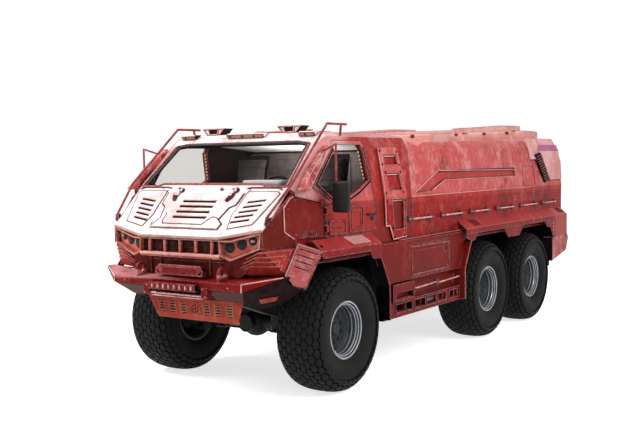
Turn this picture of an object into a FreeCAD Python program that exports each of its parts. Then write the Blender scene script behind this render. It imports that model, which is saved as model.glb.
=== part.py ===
import FreeCAD, Part
import math
import os

# Off-road passenger truck, three axles, all wheels driven. Millimetres, +Z up, front towards -Y.
# In this file Y is counted from the front axle, rearwards, and Z from the ground.
# save() moves every piece by FRONT_AXLE_Y, which puts the origin under the middle of the vehicle.

V = FreeCAD.Vector

# ---------------------------------------------------------------- driving dimensions
NOSE_REACH = 1256.0          # front axle to the foremost face, the light bar
TAIL_REACH = 6500.0          # front axle to the tip of the tow hitch
FRONT_AXLE_Y = (NOSE_REACH - TAIL_REACH) / 2

TYRE_D, TYRE_W = 1286.0, 530.0   # standing diameter and section width
TRACK = 2036.0
WHEELBASE = 3480.0           # front axle to middle axle
BOGIE = 1510.0               # middle axle to rear axle
WHEEL_Z = TYRE_D / 2
WHEEL_X = TRACK / 2
MIDDLE_Y = WHEELBASE
REAR_Y = WHEELBASE + BOGIE

RIM_R, RIM_W = 268.0, 410.0  # bead seat radius and width
FLANGE_R = 297.0
SPINDLE_R = 55.0
HUB_R, HUB_FACE = 105.0, 95.0        # hub radius and its face, inwards from the wheel's centre
KINGPIN_X, KINGPIN_R = WHEEL_X - 198.0, 22.0
TIE_PIN_R = 12.0
ARM_CLEAR, DROP_CLEAR = 93.0, 138.0  # keep the tie rod's ends inside the rim's barrel
STEER_ARM = RIM_R - ARM_CLEAR        # kingpin to tie rod end, rearwards
TIE_DROP = RIM_R - DROP_CLEAR        # tie rod below the hub
DIFF_R = 165.0

FIT = 0.3                    # clearance between pieces that seat on each other
RUN = 0.1                    # radial clearance of a pin or spindle in its hole
SEAM = 6.0                   # gap round a door or lid
WALL = 45.0                  # cab and body wall
SKIN = 12.0                  # armour plate and fender sheet

# Heights are counted from the deck, the underside level of the body floor's top skin.
DECK_Z = TYRE_D + 114.0
FLOOR_T = 40.0
SHOULDER_Z = DECK_Z + 200.0  # where fenders meet the body side
BELT_Z = DECK_Z + 550.0
WALL_TOP_Z = DECK_Z + 1094.0
EAVE_Z = DECK_Z + 1228.0
ROOF_Z = DECK_Z + 1280.0
BODY_W = 2360.0              # width over the belt crease
BELT_X = BODY_W / 2

LIP_Y, LIP_Z = -1153.0, DECK_Z + 260.0       # front edge of the hood
COWL_Y = -658.0
HOOD_SLOPE = 0.941
COWL_Z = LIP_Z + HOOD_SLOPE * (COWL_Y - LIP_Y)
SCREEN_SLOPE = 0.8676
SCREEN_TOP_Y = -125.0
SCREEN_TOP_Z = COWL_Z + SCREEN_SLOPE * (SCREEN_TOP_Y - COWL_Y)
HEADER_Y = 20.0              # front edge of the flat roof
LIP_X, CHEEK_X, CHEEK_Y = 510.0, 989.0, -1064.0   # hood lip corner and outer corner
CHEEK_RUN = 959.8            # from the outer corner rearwards to full width
FLARE = (BELT_X - CHEEK_X) / CHEEK_RUN            # sideways gain of the cheek per mm rearwards
HOOD_X = 970.0               # hood edge, where the chamfer to the cheek starts

CAB_END = 1480.0             # rear face of the cab
ROOF_BREAK = 1334.0          # roof starts to fall here
NOTCH_Y, NOTCH_Z = 1772.0, ROOF_Z - 144.0
BODY_END = 6400.0
BODY_GAP = 12.0
PARAPET_Y, PARAPET_Z = 1972.0, ROOF_Z - 95.0
PARAPET_END, PARAPET_END_Z = 5000.0, ROOF_Z - 28.0
ROOF_DECK_Z = ROOF_Z - 142.0

DOOR_Y = (-245.0, 700.0)     # door edges at the sill
DOOR_T = 70.0
FENDER_X = BELT_X + 125.0
FENDER_TOP_Z = DECK_Z + 97.0
FENDER_LIP_Z = DECK_Z + 32.0
FLANGE_GAP = 118.0           # tyre to the upright flange behind it
SKIRT_X = BELT_X + 40.0
SKIRT_Z = DECK_Z - 788.0
RAIL_X, RAIL_H, RAIL_FLANGE = 430.0, 250.0, 80.0
RAIL_TOP = DECK_Z - 190.0
RAIL_Z = RAIL_TOP - RAIL_H
SPRING_X, SPRING_W = RAIL_X - 40.0, 76.0     # the springs hang under the rails' middles


# ---------------------------------------------------------------- shape helpers
def box(x, y, z):
    """A block between the two ends of each range."""
    return Part.makeBox(x[1] - x[0], y[1] - y[0], z[1] - z[0], V(x[0], y[0], z[0]))


def prism(points, axis, lo, hi):
    """A polygon drawn square to an axis, in the other two axes' order, run from lo to hi."""
    place = {"x": lambda a, b: V(lo, a, b), "y": lambda a, b: V(a, lo, b), "z": lambda a, b: V(a, b, lo)}
    way = {"x": V(1, 0, 0), "y": V(0, 1, 0), "z": V(0, 0, 1)}[axis]
    corners = [place[axis](a, b) for a, b in points]
    return outward(Part.Face(Part.makePolygon(corners + corners[:1])).extrude(way * (hi - lo)))


def outward(solid):
    """The same solid with its faces pointing out of it."""
    if solid.Volume < 0:
        solid.reverse()
    return solid


def mirrored_outline(half):
    """A symmetric outline from its right half, listed from the bottom to the top."""
    return half + [(-x, z) for x, z in reversed(half)]


def rod(start, end, radius):
    start, end = V(*start), V(*end)
    return Part.makeCylinder(radius, (end - start).Length, start, end - start)


def bent_rod(points, radius):
    """A round bar along straight runs, with a ball at each bend."""
    runs = [rod(a, b, radius) for a, b in zip(points, points[1:])]
    return fused(runs + [Part.makeSphere(radius, V(*p)) for p in points[1:-1]])


def plate(corners, thickness):
    """A flat plate whose outer face passes through the first three corners.

    The other corners are dropped onto that face, and the plate grows away from its normal.
    """
    points = [V(*c) for c in corners]
    normal = (points[1] - points[0]).cross(points[2] - points[0]).normalize()
    flat = [p - normal * (p - points[0]).dot(normal) for p in points]
    return outward(Part.Face(Part.makePolygon(flat + flat[:1])).extrude(normal * -thickness))


def hexahedron(near, far):
    """A solid between two four-cornered ends; bent faces are split into triangles."""
    n, f = [V(*p) for p in near], [V(*p) for p in far]
    quads = [n[::-1], f] + [[n[i], n[(i + 1) % 4], f[(i + 1) % 4], f[i]] for i in range(4)]
    faces = []
    for a, b, c, d in quads:
        for corners in ((a, b, c), (a, c, d)):
            faces.append(Part.Face(Part.makePolygon(list(corners) + [corners[0]])))
    return outward(Part.makeSolid(Part.makeShell(faces))).removeSplitter()


def fused(shapes):
    return outward(shapes[0].multiFuse(shapes[1:]).removeSplitter())


def mirrored(shape):
    return shape.mirror(V(0, 0, 0), V(1, 0, 0))


def pair(shape):
    """The piece and its twin on the other side of the vehicle."""
    return Part.makeCompound(solids(shape) + solids(mirrored(shape)))


def solids(shape):
    return list(shape.Solids)


def group(shapes):
    return Part.makeCompound([s for shape in shapes for s in solids(shape)])


def turned(profile, x, y, z):
    """A closed outline of (distance along X, radius) turned about the wheel's axis."""
    corners = [V(a, 0, r) for a, r in profile]
    face = Part.Face(Part.makePolygon(corners + corners[:1]))
    return outward(face.revolve(V(0, 0, 0), V(1, 0, 0), 360)).translated(V(x, y, z))


def save(node, shape):
    moved = shape.translated(V(0, FRONT_AXLE_Y, 0))
    moved.exportStep(os.path.join("parts", node + ".step"))


def hood_z(y):
    return LIP_Z + HOOD_SLOPE * (y - LIP_Y)


def screen_z(y):
    return COWL_Z + SCREEN_SLOPE * (y - COWL_Y)


def cheek_x(y):
    return CHEEK_X + FLARE * (y - CHEEK_Y)


def roof_fall_z(y):
    """Height of the roof's sloping tail between the flat roof and the notch."""
    return ROOF_Z + (NOTCH_Z - ROOF_Z) * (y - ROOF_BREAK) / (NOTCH_Y - ROOF_BREAK)


# ---------------------------------------------------------------- cab and nose envelope
def section(inset, low, top):
    """Cross-section of the body, inset all round, cut off at top."""
    eave_x, roof_x = BELT_X - 130, BELT_X - 280
    foot_x = BELT_X - 4 - 0.03 * (SHOULDER_Z - low)
    half = [(foot_x - inset, low), (BELT_X - 4 - inset, SHOULDER_Z), (BELT_X - inset, BELT_Z),
            (BELT_X - 50 - inset, WALL_TOP_Z)]
    if top > EAVE_Z:
        half += [(eave_x - inset, EAVE_Z - 0.4 * inset), (roof_x - inset, top)]
    else:
        half += [(eave_x + (EAVE_Z - top) * 0.597 - inset, top)]
    return mirrored_outline(half)


def cheek_plan(inset, back):
    """Plan of the cab: flat nose, angled corners, flaring cheeks, then straight sides."""
    half = [(LIP_X, LIP_Y + inset), (CHEEK_X - inset, CHEEK_Y + inset),
            (BELT_X - inset, CHEEK_Y + (BELT_X - CHEEK_X) / FLARE), (BELT_X - inset, back - inset)]
    return half + [(-x, y) for x, y in reversed(half)]


def cab_profile(inset, low, front, back):
    """Side outline of the cab, from the nose or the firewall back."""
    down = inset * 1.36
    if front < COWL_Y:
        start = [(front, low), (front, hood_z(front) - down), (COWL_Y, COWL_Z - down)]
    else:
        start = [(front, low), (front, screen_z(front) - down)]
    return start + [
            (SCREEN_TOP_Y, SCREEN_TOP_Z - down), (HEADER_Y, ROOF_Z - inset), (ROOF_BREAK, ROOF_Z - inset),
            (back, roof_fall_z(back) - inset), (back, low)]


CHAMFER = 55.0               # how far below the hood or screen the chamfer meets the cheek


def chamfer_tools():
    """Wedges that take the corner off between hood or screen and cheek."""
    tools = []
    for start_y, end_y, height in ((LIP_Y - 60, COWL_Y, hood_z), (COWL_Y, HEADER_Y + 40, screen_z)):
        ends = []
        for y in (start_y, end_y):
            share = min(1.0, max(0.0, (y - CHEEK_Y) / (COWL_Y - CHEEK_Y)))
            z, drop, out = height(y), CHAMFER * share * 1.9, HOOD_X + 160
            ends.append([(HOOD_X, y, z), (out, y, z - drop), (out, y, z + 200), (HOOD_X, y, z + 200)])
        wedge = hexahedron(*ends)
        tools += [wedge, mirrored(wedge)]
    return tools


FIREWALL_Y = COWL_Y + 18.0
FIREWALL_T = 35.0


def cab_outer(inset, low, front):
    return (prism(cab_profile(inset, low, front, CAB_END - (inset and WALL)), "x", -1400, 1400)
            .common(prism(cheek_plan(inset, CAB_END + inset), "z", low - 5, ROOF_Z + 50))
            .common(prism(section(inset, low - 5, ROOF_Z - inset), "y", -1400, 2000)))


def cab_hull(gap):
    """The whole cab and nose as one solid, grown by a gap, for cutting what is mounted on them."""
    chamfers = [tool.translated(V(0, 0, 1.4 * gap)) for tool in chamfer_tools()]
    return cab_outer(-gap, LIP_Z - 110, LIP_Y).cut(Part.makeCompound(chamfers))


DOOR_OUTLINE = [(DOOR_Y[0], SHOULDER_Z + 12), (DOOR_Y[0], BELT_Z + 15), (DOOR_Y[0] - 205, DECK_Z + 752),
                (DOOR_Y[0] + 245, EAVE_Z - 38), (DOOR_Y[1] - 150, EAVE_Z - 38), (DOOR_Y[1], SHOULDER_Z + 12)]
WINDOW_OUTLINE = [(DOOR_Y[0] - 140, DECK_Z + 748), (DOOR_Y[0] + 255, EAVE_Z - 84),
                  (DOOR_Y[1] - 192, EAVE_Z - 84), (DOOR_Y[1] - 112, DECK_Z + 765),
                  (DOOR_Y[1] - 320, DECK_Z + 665), (DOOR_Y[1] - 570, DECK_Z + 578),
                  (DOOR_Y[0] + 135, DECK_Z + 578)]
SCREEN_EDGE = 66.0           # glass rim at the side of the opening


def shrunk(points, gap):
    """An outline moved inwards by a gap."""
    wire = Part.makePolygon([V(a, b, 0) for a, b in points + points[:1]])
    inner = wire.makeOffset2D(-gap, 2)
    return [(v.Point.x, v.Point.y) for v in inner.OrderedVertexes]


def screen_outline(gap):
    """Windscreen opening as (x, distance up the screen from the cowl line)."""
    length = math.hypot(1, SCREEN_SLOPE) * (SCREEN_TOP_Y - COWL_Y)
    points = [(-964.0, 6.0), (-735.0, 6.0), (-667.0, 44.0), (667.0, 44.0), (735.0, 6.0), (964.0, 6.0),
              (900.0, length - 44), (747.0, length - 12), (-747.0, length - 12), (-900.0, length - 44)]
    return shrunk(points, gap) if gap else points


def on_screen(points, lift, depth):
    """An outline on the screen's plane, raised by lift and grown inwards by depth."""
    up = V(0, 1, SCREEN_SLOPE).normalize()
    normal = V(0, -SCREEN_SLOPE, 1).normalize()
    base = V(0, COWL_Y, COWL_Z) + normal * lift
    corners = [base + V(x, 0, 0) + up * s for x, s in points]
    return outward(Part.Face(Part.makePolygon(corners + corners[:1])).extrude(normal * -depth))


HINGE_X, HINGE_Y = cheek_x(DOOR_Y[0]) + 18, DOOR_Y[0]    # door hinge axis
DOOR_IN = cheek_x(DOOR_Y[0] - 205) - 161     # the door's cuts start here
HINGE_Z = (DECK_Z + 300.0, DECK_Z + 480.0)   # middles of the two hinges
HINGE_H, PIN_R, BARREL_R, LEAF_T = 60.0, 7.0, 13.0, 12.0


def door_hinge(z):
    """The cab's half of a door hinge: two leaves with the pin between them."""
    half = HINGE_H / 2
    parts = [rod((HINGE_X, HINGE_Y, z - half - LEAF_T), (HINGE_X, HINGE_Y, z + half + LEAF_T), PIN_R)]
    for low in (z - half - LEAF_T, z + half):
        parts.append(box((cheek_x(HINGE_Y) - 12, HINGE_X - 8), (HINGE_Y - 42, HINGE_Y - 2), (low, low + LEAF_T)))
        parts.append(box((HINGE_X - 9, HINGE_X + 10), (HINGE_Y - 42, HINGE_Y + 10), (low, low + LEAF_T)))
    return parts


def door_barrel(z):
    """The door's half of a hinge: a barrel on the pin and its strap."""
    half = HINGE_H / 2 - FIT
    barrel = rod((HINGE_X, HINGE_Y, z - half), (HINGE_X, HINGE_Y, z + half), BARREL_R)
    strap = box((HINGE_X - 20, HINGE_X + 12), (HINGE_Y + 6, HINGE_Y + 70), (z - half, z + half))
    hole = rod((HINGE_X, HINGE_Y, z - HINGE_H), (HINGE_X, HINGE_Y, z + HINGE_H), PIN_R + RUN)
    return fused([barrel, strap]).cut(hole)


def cab_shell():
    shell = cab_outer(0, DECK_Z - FLOOR_T, FIREWALL_Y)
    shell = shell.cut(cab_outer(WALL, DECK_Z - 2 * FLOOR_T, FIREWALL_Y + FIREWALL_T))
    tools = [on_screen(screen_outline(0), 60, 260)] + chamfer_tools()
    door_hole = prism(DOOR_OUTLINE, "x", DOOR_IN, BELT_X + 60)
    tools += [door_hole, mirrored(door_hole)]
    hinges = [part for z in HINGE_Z for part in door_hinge(z)]
    return fused([shell.cut(Part.makeCompound(tools))] + hinges + [mirrored(part) for part in hinges])


def cab_floor():
    """The floor between the cab's walls, level with their lower edge and meeting them all round."""
    inside = cab_outer(WALL, DECK_Z - FLOOR_T, FIREWALL_Y + FIREWALL_T)
    return inside.common(box((-1400, 1400), (FIREWALL_Y, CAB_END), (DECK_Z - FLOOR_T, DECK_Z)))


GLASS_T = 32.0


def windshield():
    return on_screen(screen_outline(FIT), -14, GLASS_T)


def side_skin(outer, inner):
    """The cab's side wall between two depths, on the left, without floor or roof."""
    return cab_outer(outer, DECK_Z - 200, LIP_Y - 100).cut(cab_outer(inner, DECK_Z - 300, LIP_Y - 100))


def door():
    outline = shrunk(DOOR_OUTLINE, SEAM)
    slab = prism(outline, "x", DOOR_IN, BELT_X + 60)
    leaf = side_skin(0, DOOR_T).common(slab).common(box((0, 2000), (-1000, CAB_END), (DECK_Z, ROOF_Z)))
    leaf = leaf.cut(prism(WINDOW_OUTLINE, "x", DOOR_IN - 10, BELT_X + 70))
    return fused([leaf] + [door_barrel(z) for z in HINGE_Z])


def door_glass():
    pane = prism(shrunk(WINDOW_OUTLINE, FIT), "x", DOOR_IN - 10, BELT_X + 70)
    return side_skin(34, 34 + 26).common(pane).common(box((0, 2000), (-1000, CAB_END), (DECK_Z, ROOF_Z)))


# ---------------------------------------------------------------- nose
LID_S = 590.0                # hood lid's hinge line, along the slope from the lip
NOSE_T = 20.0
LID_OUTLINE = [(445, 88), (461, 168), (388, 227), (431, 383), (496, 426), (509, 572), (510, LID_S)]


LID_EDGE = LID_OUTLINE + [(-x, s) for x, s in LID_OUTLINE[::-1]]
LID_LIFT = 8.0               # lid's outer face above the hood
LID_AXIS = (LID_S + 10.0, 26.0)      # lid's hinge line as (distance up the slope, height above it)
LID_HINGE_X = 365.0


def hood_point(x, s, lift):
    """A point given by its place on the hood's slope and its height above it."""
    up = V(0, 1, HOOD_SLOPE).normalize()
    return tuple(V(x, LIP_Y, LIP_Z) + up * s + V(0, -HOOD_SLOPE, 1).normalize() * lift)


def lid_hinge(x):
    """The hood's half of a lid hinge: two ears and the pin."""
    parts = [rod(hood_point(x - 35, *LID_AXIS), hood_point(x + 35, *LID_AXIS), PIN_R)]
    for side in (x - 35, x + 23):
        ear = on_hood([(side, LID_AXIS[0] - 8), (side + 12, LID_AXIS[0] - 8), (side + 12, LID_AXIS[0] + 32),
                       (side, LID_AXIS[0] + 32)], LID_AXIS[1] + 8, LID_AXIS[1] + 8 - LID_LIFT - 6)
        foot = on_hood([(side, LID_AXIS[0] + 12), (side + 12, LID_AXIS[0] + 12), (side + 12, LID_AXIS[0] + 32),
                        (side, LID_AXIS[0] + 32)], LID_AXIS[1], LID_AXIS[1] + 6)
        parts += [ear, foot]
    return parts


def lid_barrel(x):
    barrel = rod(hood_point(x - 22, *LID_AXIS), hood_point(x + 22, *LID_AXIS), BARREL_R)
    arm = on_hood([(x - 22, LID_S - 60), (x + 22, LID_S - 60), (x + 22, LID_AXIS[0] - 2),
                   (x - 22, LID_AXIS[0] - 2)], LID_AXIS[1] + 6, LID_AXIS[1] + 6 - LID_LIFT)
    return [barrel, arm]


def on_hood(points, lift, depth):
    """An outline of (x, distance up the slope) on the hood's plane."""
    up = V(0, 1, HOOD_SLOPE).normalize()
    normal = V(0, -HOOD_SLOPE, 1).normalize()
    base = V(0, LIP_Y, LIP_Z) + normal * lift
    corners = [base + V(x, 0, 0) + up * s for x, s in points]
    return outward(Part.Face(Part.makePolygon(corners + corners[:1])).extrude(normal * -depth))


def slots(table, height, lift, depth):
    """Slots on the hood from rows of (inner x, inner s, outer x, outer s), s to the lower edge."""
    return [on_hood([(xi, si), (xo, so), (xo, so + height), (xi, si + height)], lift, depth)
            for xi, si, xo, so in table]


LID_SLOTS = [(-219, s, 219, s) for s in (232, 306, 381, 452)]
SIDE_SLOTS = [(562 + 15 * i, 180 + 68 * i, 773 + 15 * i, 222 + 66 * i) for i in range(5)]
SLOT_H = 13.0


LAMP_OUTLINE = [(525, LIP_Z - 36), (645, LIP_Z - 35), (972, LIP_Z + 45), (957, LIP_Z - 107),
                (645, LIP_Z - 225), (531, LIP_Z - 178)]


def nose_shell():
    """Hood, cheeks and the inner wall behind the grille, open below."""
    low = LIP_Z - 110
    hood = [(LIP_Y, LIP_Z - 34), (LIP_Y, LIP_Z), (COWL_Y, COWL_Z), (FIREWALL_Y - FIT, screen_z(FIREWALL_Y)),
            (FIREWALL_Y - FIT, low), (LIP_Y + 70, low), (LIP_Y + 70, LIP_Z - 34)]
    inner = [(LIP_Y + 70 + NOSE_T, low - 5), (LIP_Y + 70 + NOSE_T, hood_z(LIP_Y + 70 + NOSE_T) - NOSE_T * 1.4),
             (COWL_Y, COWL_Z - NOSE_T * 1.4), (COWL_Y, low - 5)]
    plan = prism(cheek_plan(0, 0), "z", low - 10, ROOF_Z)
    inner_plan = prism([(x * 0.982, y) for x, y in cheek_plan(0, 0)], "z", low - 10, ROOF_Z)
    shell = prism(hood, "x", -1400, 1400).common(plan)
    shell = shell.cut(prism(inner, "x", -1400, 1400).common(inner_plan))
    lid_hole = on_hood(LID_EDGE, 30, 90)
    side = slots(SIDE_SLOTS, SLOT_H, 10, 60)
    tools = chamfer_tools() + [lid_hole] + side + [mirrored(s) for s in side]
    tools += [box((-500, 500), (LIP_Y + 60, LIP_Y + 70 + NOSE_T + 5), (low - 1, LIP_Z - 42))]
    space = prism(shrunk(LAMP_OUTLINE, -FIT), "y", LIP_Y - 100, LIP_Y + 300).common(lamp_slab(-30, 160))
    tools += [space, mirrored(space), on_screen(screen_outline(0), 60, 200)]
    hinges = lid_hinge(LID_HINGE_X) + lid_hinge(-LID_HINGE_X)
    return fused([shell.cut(Part.makeCompound(tools))] + hinges)


def hood_lid():
    """The lid, its stiffening rim and its two hinge barrels."""
    lid = on_hood(shrunk(LID_EDGE, SEAM), LID_LIFT, NOSE_T)
    rim = on_hood(shrunk(LID_EDGE, SEAM + 20), LID_LIFT, NOSE_T + 45)
    core = on_hood(shrunk(LID_EDGE, SEAM + 32), LID_LIFT + 12, NOSE_T + 85)
    barrels = [barrel for x in (-LID_HINGE_X, LID_HINGE_X) for barrel in lid_barrel(x)]
    lid = fused([lid, rim.cut(core)] + barrels)
    pins = [rod(hood_point(-600, *LID_AXIS), hood_point(600, *LID_AXIS), PIN_R + RUN)]
    return lid.cut(Part.makeCompound(slots(LID_SLOTS, SLOT_H, 20, 60) + pins))


GRILLE_POSTS = [0.0, 207.0, 416.0]
LAMP_TABLE = [(621, DECK_Z + 161, 45), (751, DECK_Z + 193, 45), (868, DECK_Z + 227, 36)]   # x, z, radius
LAMP_DIR = V(CHEEK_X - LIP_X, CHEEK_Y - LIP_Y, 0).normalize()
LAMP_NORMAL = V(-LAMP_DIR.y, LAMP_DIR.x, 0) * -1


def lamp_plane_y(x):
    return LIP_Y + (x - LIP_X) * (CHEEK_Y - LIP_Y) / (CHEEK_X - LIP_X)


def lamp_slab(front, depth):
    """A slab behind the angled face of the nose corner."""
    corners = [(LIP_X - 60, lamp_plane_y(LIP_X - 60) + front), (CHEEK_X + 60, lamp_plane_y(CHEEK_X + 60) + front)]
    back = [(x, y + depth) for x, y in reversed(corners)]
    return prism(corners + back, "z", DECK_Z - 100, ROOF_Z)


def grille_frame():
    """Lamp buckets at both corners, the sill below the grille and its posts."""
    bucket = prism(LAMP_OUTLINE, "y", LIP_Y - 100, LIP_Y + 300).common(lamp_slab(4, 100))
    pocket = prism(shrunk(LAMP_OUTLINE, 14), "y", LIP_Y - 100, LIP_Y + 300).common(lamp_slab(-10, 60))
    bucket = bucket.cut(pocket)
    holes = [lamp_cylinder(x, z, r + FIT, 140, 20) for x, z, r in LAMP_TABLE]
    bucket = bucket.cut(Part.makeCompound(holes))
    under_hood = prism([(LIP_Y - 60, LIP_Z - 60), (LIP_Y - 60, LIP_Z - 34 - FIT), (LIP_Y, LIP_Z - 34 - FIT),
                        (COWL_Y, COWL_Z - 34 - FIT - 30), (COWL_Y, LIP_Z - 60)], "x", 400, 1100)
    below = box((400, 1100), (LIP_Y - 60, COWL_Y), (DECK_Z, LIP_Z - 60))
    bucket = bucket.common(fused([under_hood, below]))
    sill = prism([(LIP_Y, LIP_Z - 178), (LIP_Y + 60, LIP_Z - 172), (LIP_Y + 60, LIP_Z - 222),
                  (LIP_Y + 18, LIP_Z - 220)], "x", -534, 534)
    posts = [box((x - 11, x + 11), (LIP_Y + 26, LIP_Y + 56), (LIP_Z - 176, LIP_Z - 34 - FIT))
             for x in GRILLE_POSTS + [-v for v in GRILLE_POSTS[1:]]]
    return fused([bucket, mirrored(bucket), sill] + posts)


def lamp_cylinder(x, z, radius, length, reach):
    """A round lamp body square to the corner face; reach is how far its front stands out."""
    front = V(x, lamp_plane_y(x), z) + LAMP_NORMAL * reach
    return Part.makeCylinder(radius, length, front, LAMP_NORMAL * -1)


LED_X, LED_Z, LED_H = 302.0, DECK_Z - 268.0, 60.0


def front_lamps():
    lamps = [lamp_cylinder(x, z, r, 95, -40) for x, z, r in LAMP_TABLE]
    bar = box((-LED_X, LED_X), (-NOSE_REACH, BUMPER_Y + 6), (LED_Z, LED_Z + LED_H))
    return group(lamps + [mirrored(s) for s in lamps] + [bar])


# ---------------------------------------------------------------- bumper
BUMPER_Y, BUMPER_X = -1216.0, 848.0
BUMPER_TOP = DECK_Z - 172.0
BUMPER_H = 77.0
WING_X, WING_Y, WING_Z = 1180.0, -1000.0, DECK_Z - 110.0
LUG_X, LUG_R, LUG_T = 547.0, 36.0, 28.0
LUG_Y, LUG_Z = -1132.0, DECK_Z - 92.0


def bumper():
    back = LIP_Y + 200
    core = prism([(BUMPER_Y, BUMPER_TOP), (back, BUMPER_TOP + 34), (back, BUMPER_TOP - BUMPER_H),
                  (BUMPER_Y + 14, BUMPER_TOP - BUMPER_H)], "x", -BUMPER_X, BUMPER_X)
    near = [(BUMPER_X, BUMPER_Y, BUMPER_TOP), (BUMPER_X, back, BUMPER_TOP + 34),
            (BUMPER_X, back, BUMPER_TOP - BUMPER_H), (BUMPER_X, BUMPER_Y + 14, BUMPER_TOP - BUMPER_H)]
    far = [(WING_X, WING_Y, WING_Z), (WING_X, WING_Y + 110, WING_Z),
           (WING_X - 100, WING_Y + 110, WING_Z - 150), (WING_X - 100, WING_Y, WING_Z - 150)]
    wing = hexahedron(near, far)
    posts = [box((s * 388 - 37, s * 388 + 37), (BUMPER_Y - 8, BUMPER_Y + 60),
                 (BUMPER_TOP - 160, BUMPER_TOP - 58)) for s in (-1, 1)]
    rail = box((-351, 351), (BUMPER_Y + 18, BUMPER_Y + 42), (BUMPER_TOP - 156, BUMPER_TOP - 136))
    lugs = []
    for x in (-LUG_X, LUG_X):
        foot = box((x - LUG_T / 2, x + LUG_T / 2), (LUG_Y - 64, LUG_Y + 64), (BUMPER_TOP - 20, LUG_Z))
        head = rod((x - LUG_T / 2, LUG_Y, LUG_Z), (x + LUG_T / 2, LUG_Y, LUG_Z), 64)
        hole = rod((x - LUG_T, LUG_Y, LUG_Z), (x + LUG_T, LUG_Y, LUG_Z), LUG_R)
        lugs.append(fused([foot, head]).cut(hole))
    return fused([core, wing, mirrored(wing), rail] + posts + lugs)


SKID_TOP = (640.0, -938.0, DECK_Z - 397.0)
SKID_KNEE = (556.0, -915.0, DECK_Z - 568.0)
SKID_LOW = (543.0, -883.0, DECK_Z - 628.0)
LOUVRE_X = [155.0, 305.0, 458.0]


def skid_plate():
    rows = [SKID_TOP, SKID_KNEE, SKID_LOW]
    plates = [plate([(-x1, y1, z1), (x1, y1, z1), (x0, y0, z0), (-x0, y0, z0)], SKIN)
              for (x0, y0, z0), (x1, y1, z1) in zip(rows, rows[1:])]
    windows = [box((s * x - 37, s * x + 37), (-1000, -880), (SKID_TOP[2] - 160, SKID_TOP[2] - 42))
               for x in LOUVRE_X for s in (-1, 1)]
    windows.append(rod((0, -1000, SKID_TOP[2] - 102), (0, -880, SKID_TOP[2] - 102), 64))
    face = fused(plates).cut(Part.makeCompound(windows))
    top = BUMPER_TOP - BUMPER_H
    cheek = prism([(SKID_TOP[1] + 2, SKID_TOP[2] - 4), (SKID_KNEE[1] + 4, SKID_KNEE[2]),
                   (SKID_LOW[1] + 3, SKID_LOW[2] + 4), (-820, SKID_LOW[2] + 60), (-820, RAIL_Z + 60),
                   (-960, top - FIT), (-1120, top - FIT), (-1120, top - 60)], "x", 500, 500 + SKIN)
    return fused([face, cheek, mirrored(cheek)])


# ---------------------------------------------------------------- fenders, skirts, rear bumper
FENDER_IN = BELT_X - 4 + FIT         # where a fender meets the body side
FENDER_EDGE = 22.0


def fender_section(y0, y1):
    points = [(FENDER_IN, SHOULDER_Z), (FENDER_X - 4, FENDER_TOP_Z), (FENDER_X, FENDER_LIP_Z),
              (FENDER_X - SKIN, FENDER_LIP_Z), (FENDER_X - 4 - SKIN, FENDER_TOP_Z - SKIN),
              (FENDER_IN, SHOULDER_Z - FENDER_EDGE)]
    return prism(points, "y", y0, y1)


def outer_plate(points):
    """A flat plate in the fender's outer face."""
    return prism(points, "x", FENDER_X - SKIN, FENDER_X)


FRONT_FLAP_Y = -511.0
ARCH_Y = TYRE_D / 2 + FLANGE_GAP     # upright flange behind a wheel, from its axle


def front_fender():
    """Fender top, its web to the narrowing cheek, the forward flap and the rear bracket."""
    top = fender_section(FRONT_FLAP_Y, ARCH_Y - 172)
    web_end = CHEEK_Y + (FENDER_IN - FIT - CHEEK_X) / FLARE
    web = prism([(cheek_x(FRONT_FLAP_Y) + FIT, FRONT_FLAP_Y), (FENDER_IN + 1, FRONT_FLAP_Y),
                 (FENDER_IN + 1, web_end), (FENDER_IN, web_end)], "z", SHOULDER_Z - FENDER_EDGE, SHOULDER_Z - 1)
    flap = plate([(FENDER_X - 4, FRONT_FLAP_Y, FENDER_TOP_Z), (cheek_x(-662) + 31, -662, SHOULDER_Z - 22),
                  (cheek_x(-888) + 102, -888, DECK_Z - 110), (FENDER_X - 95, -880, DECK_Z - 206), (FENDER_X, -813, DECK_Z - 238)], SKIN)
    bracket = outer_plate([(ARCH_Y - 419, FENDER_LIP_Z + 20), (ARCH_Y - 341, FENDER_LIP_Z - 89),
                           (ARCH_Y - 176, FENDER_LIP_Z - 100), (ARCH_Y - 172, FENDER_LIP_Z + 60),
                           (ARCH_Y - 419, FENDER_LIP_Z + 60)])
    return fused([top, web, flap, bracket])


def quarter_panel():
    """Bent panel under the nose's cheek, between the lamps and the flap."""
    outer = [(cheek_x(-1068) - 28, -1068, LIP_Z - 114), (cheek_x(-668) + 30, -668, LIP_Z - 114),
             (cheek_x(-868) + 78, -868, DECK_Z - 108), (CHEEK_X - 249, -1020, DECK_Z - 108)]
    return hexahedron(outer, [(x - SKIN, y + SKIN + 2, z) for x, y, z in outer])


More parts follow.
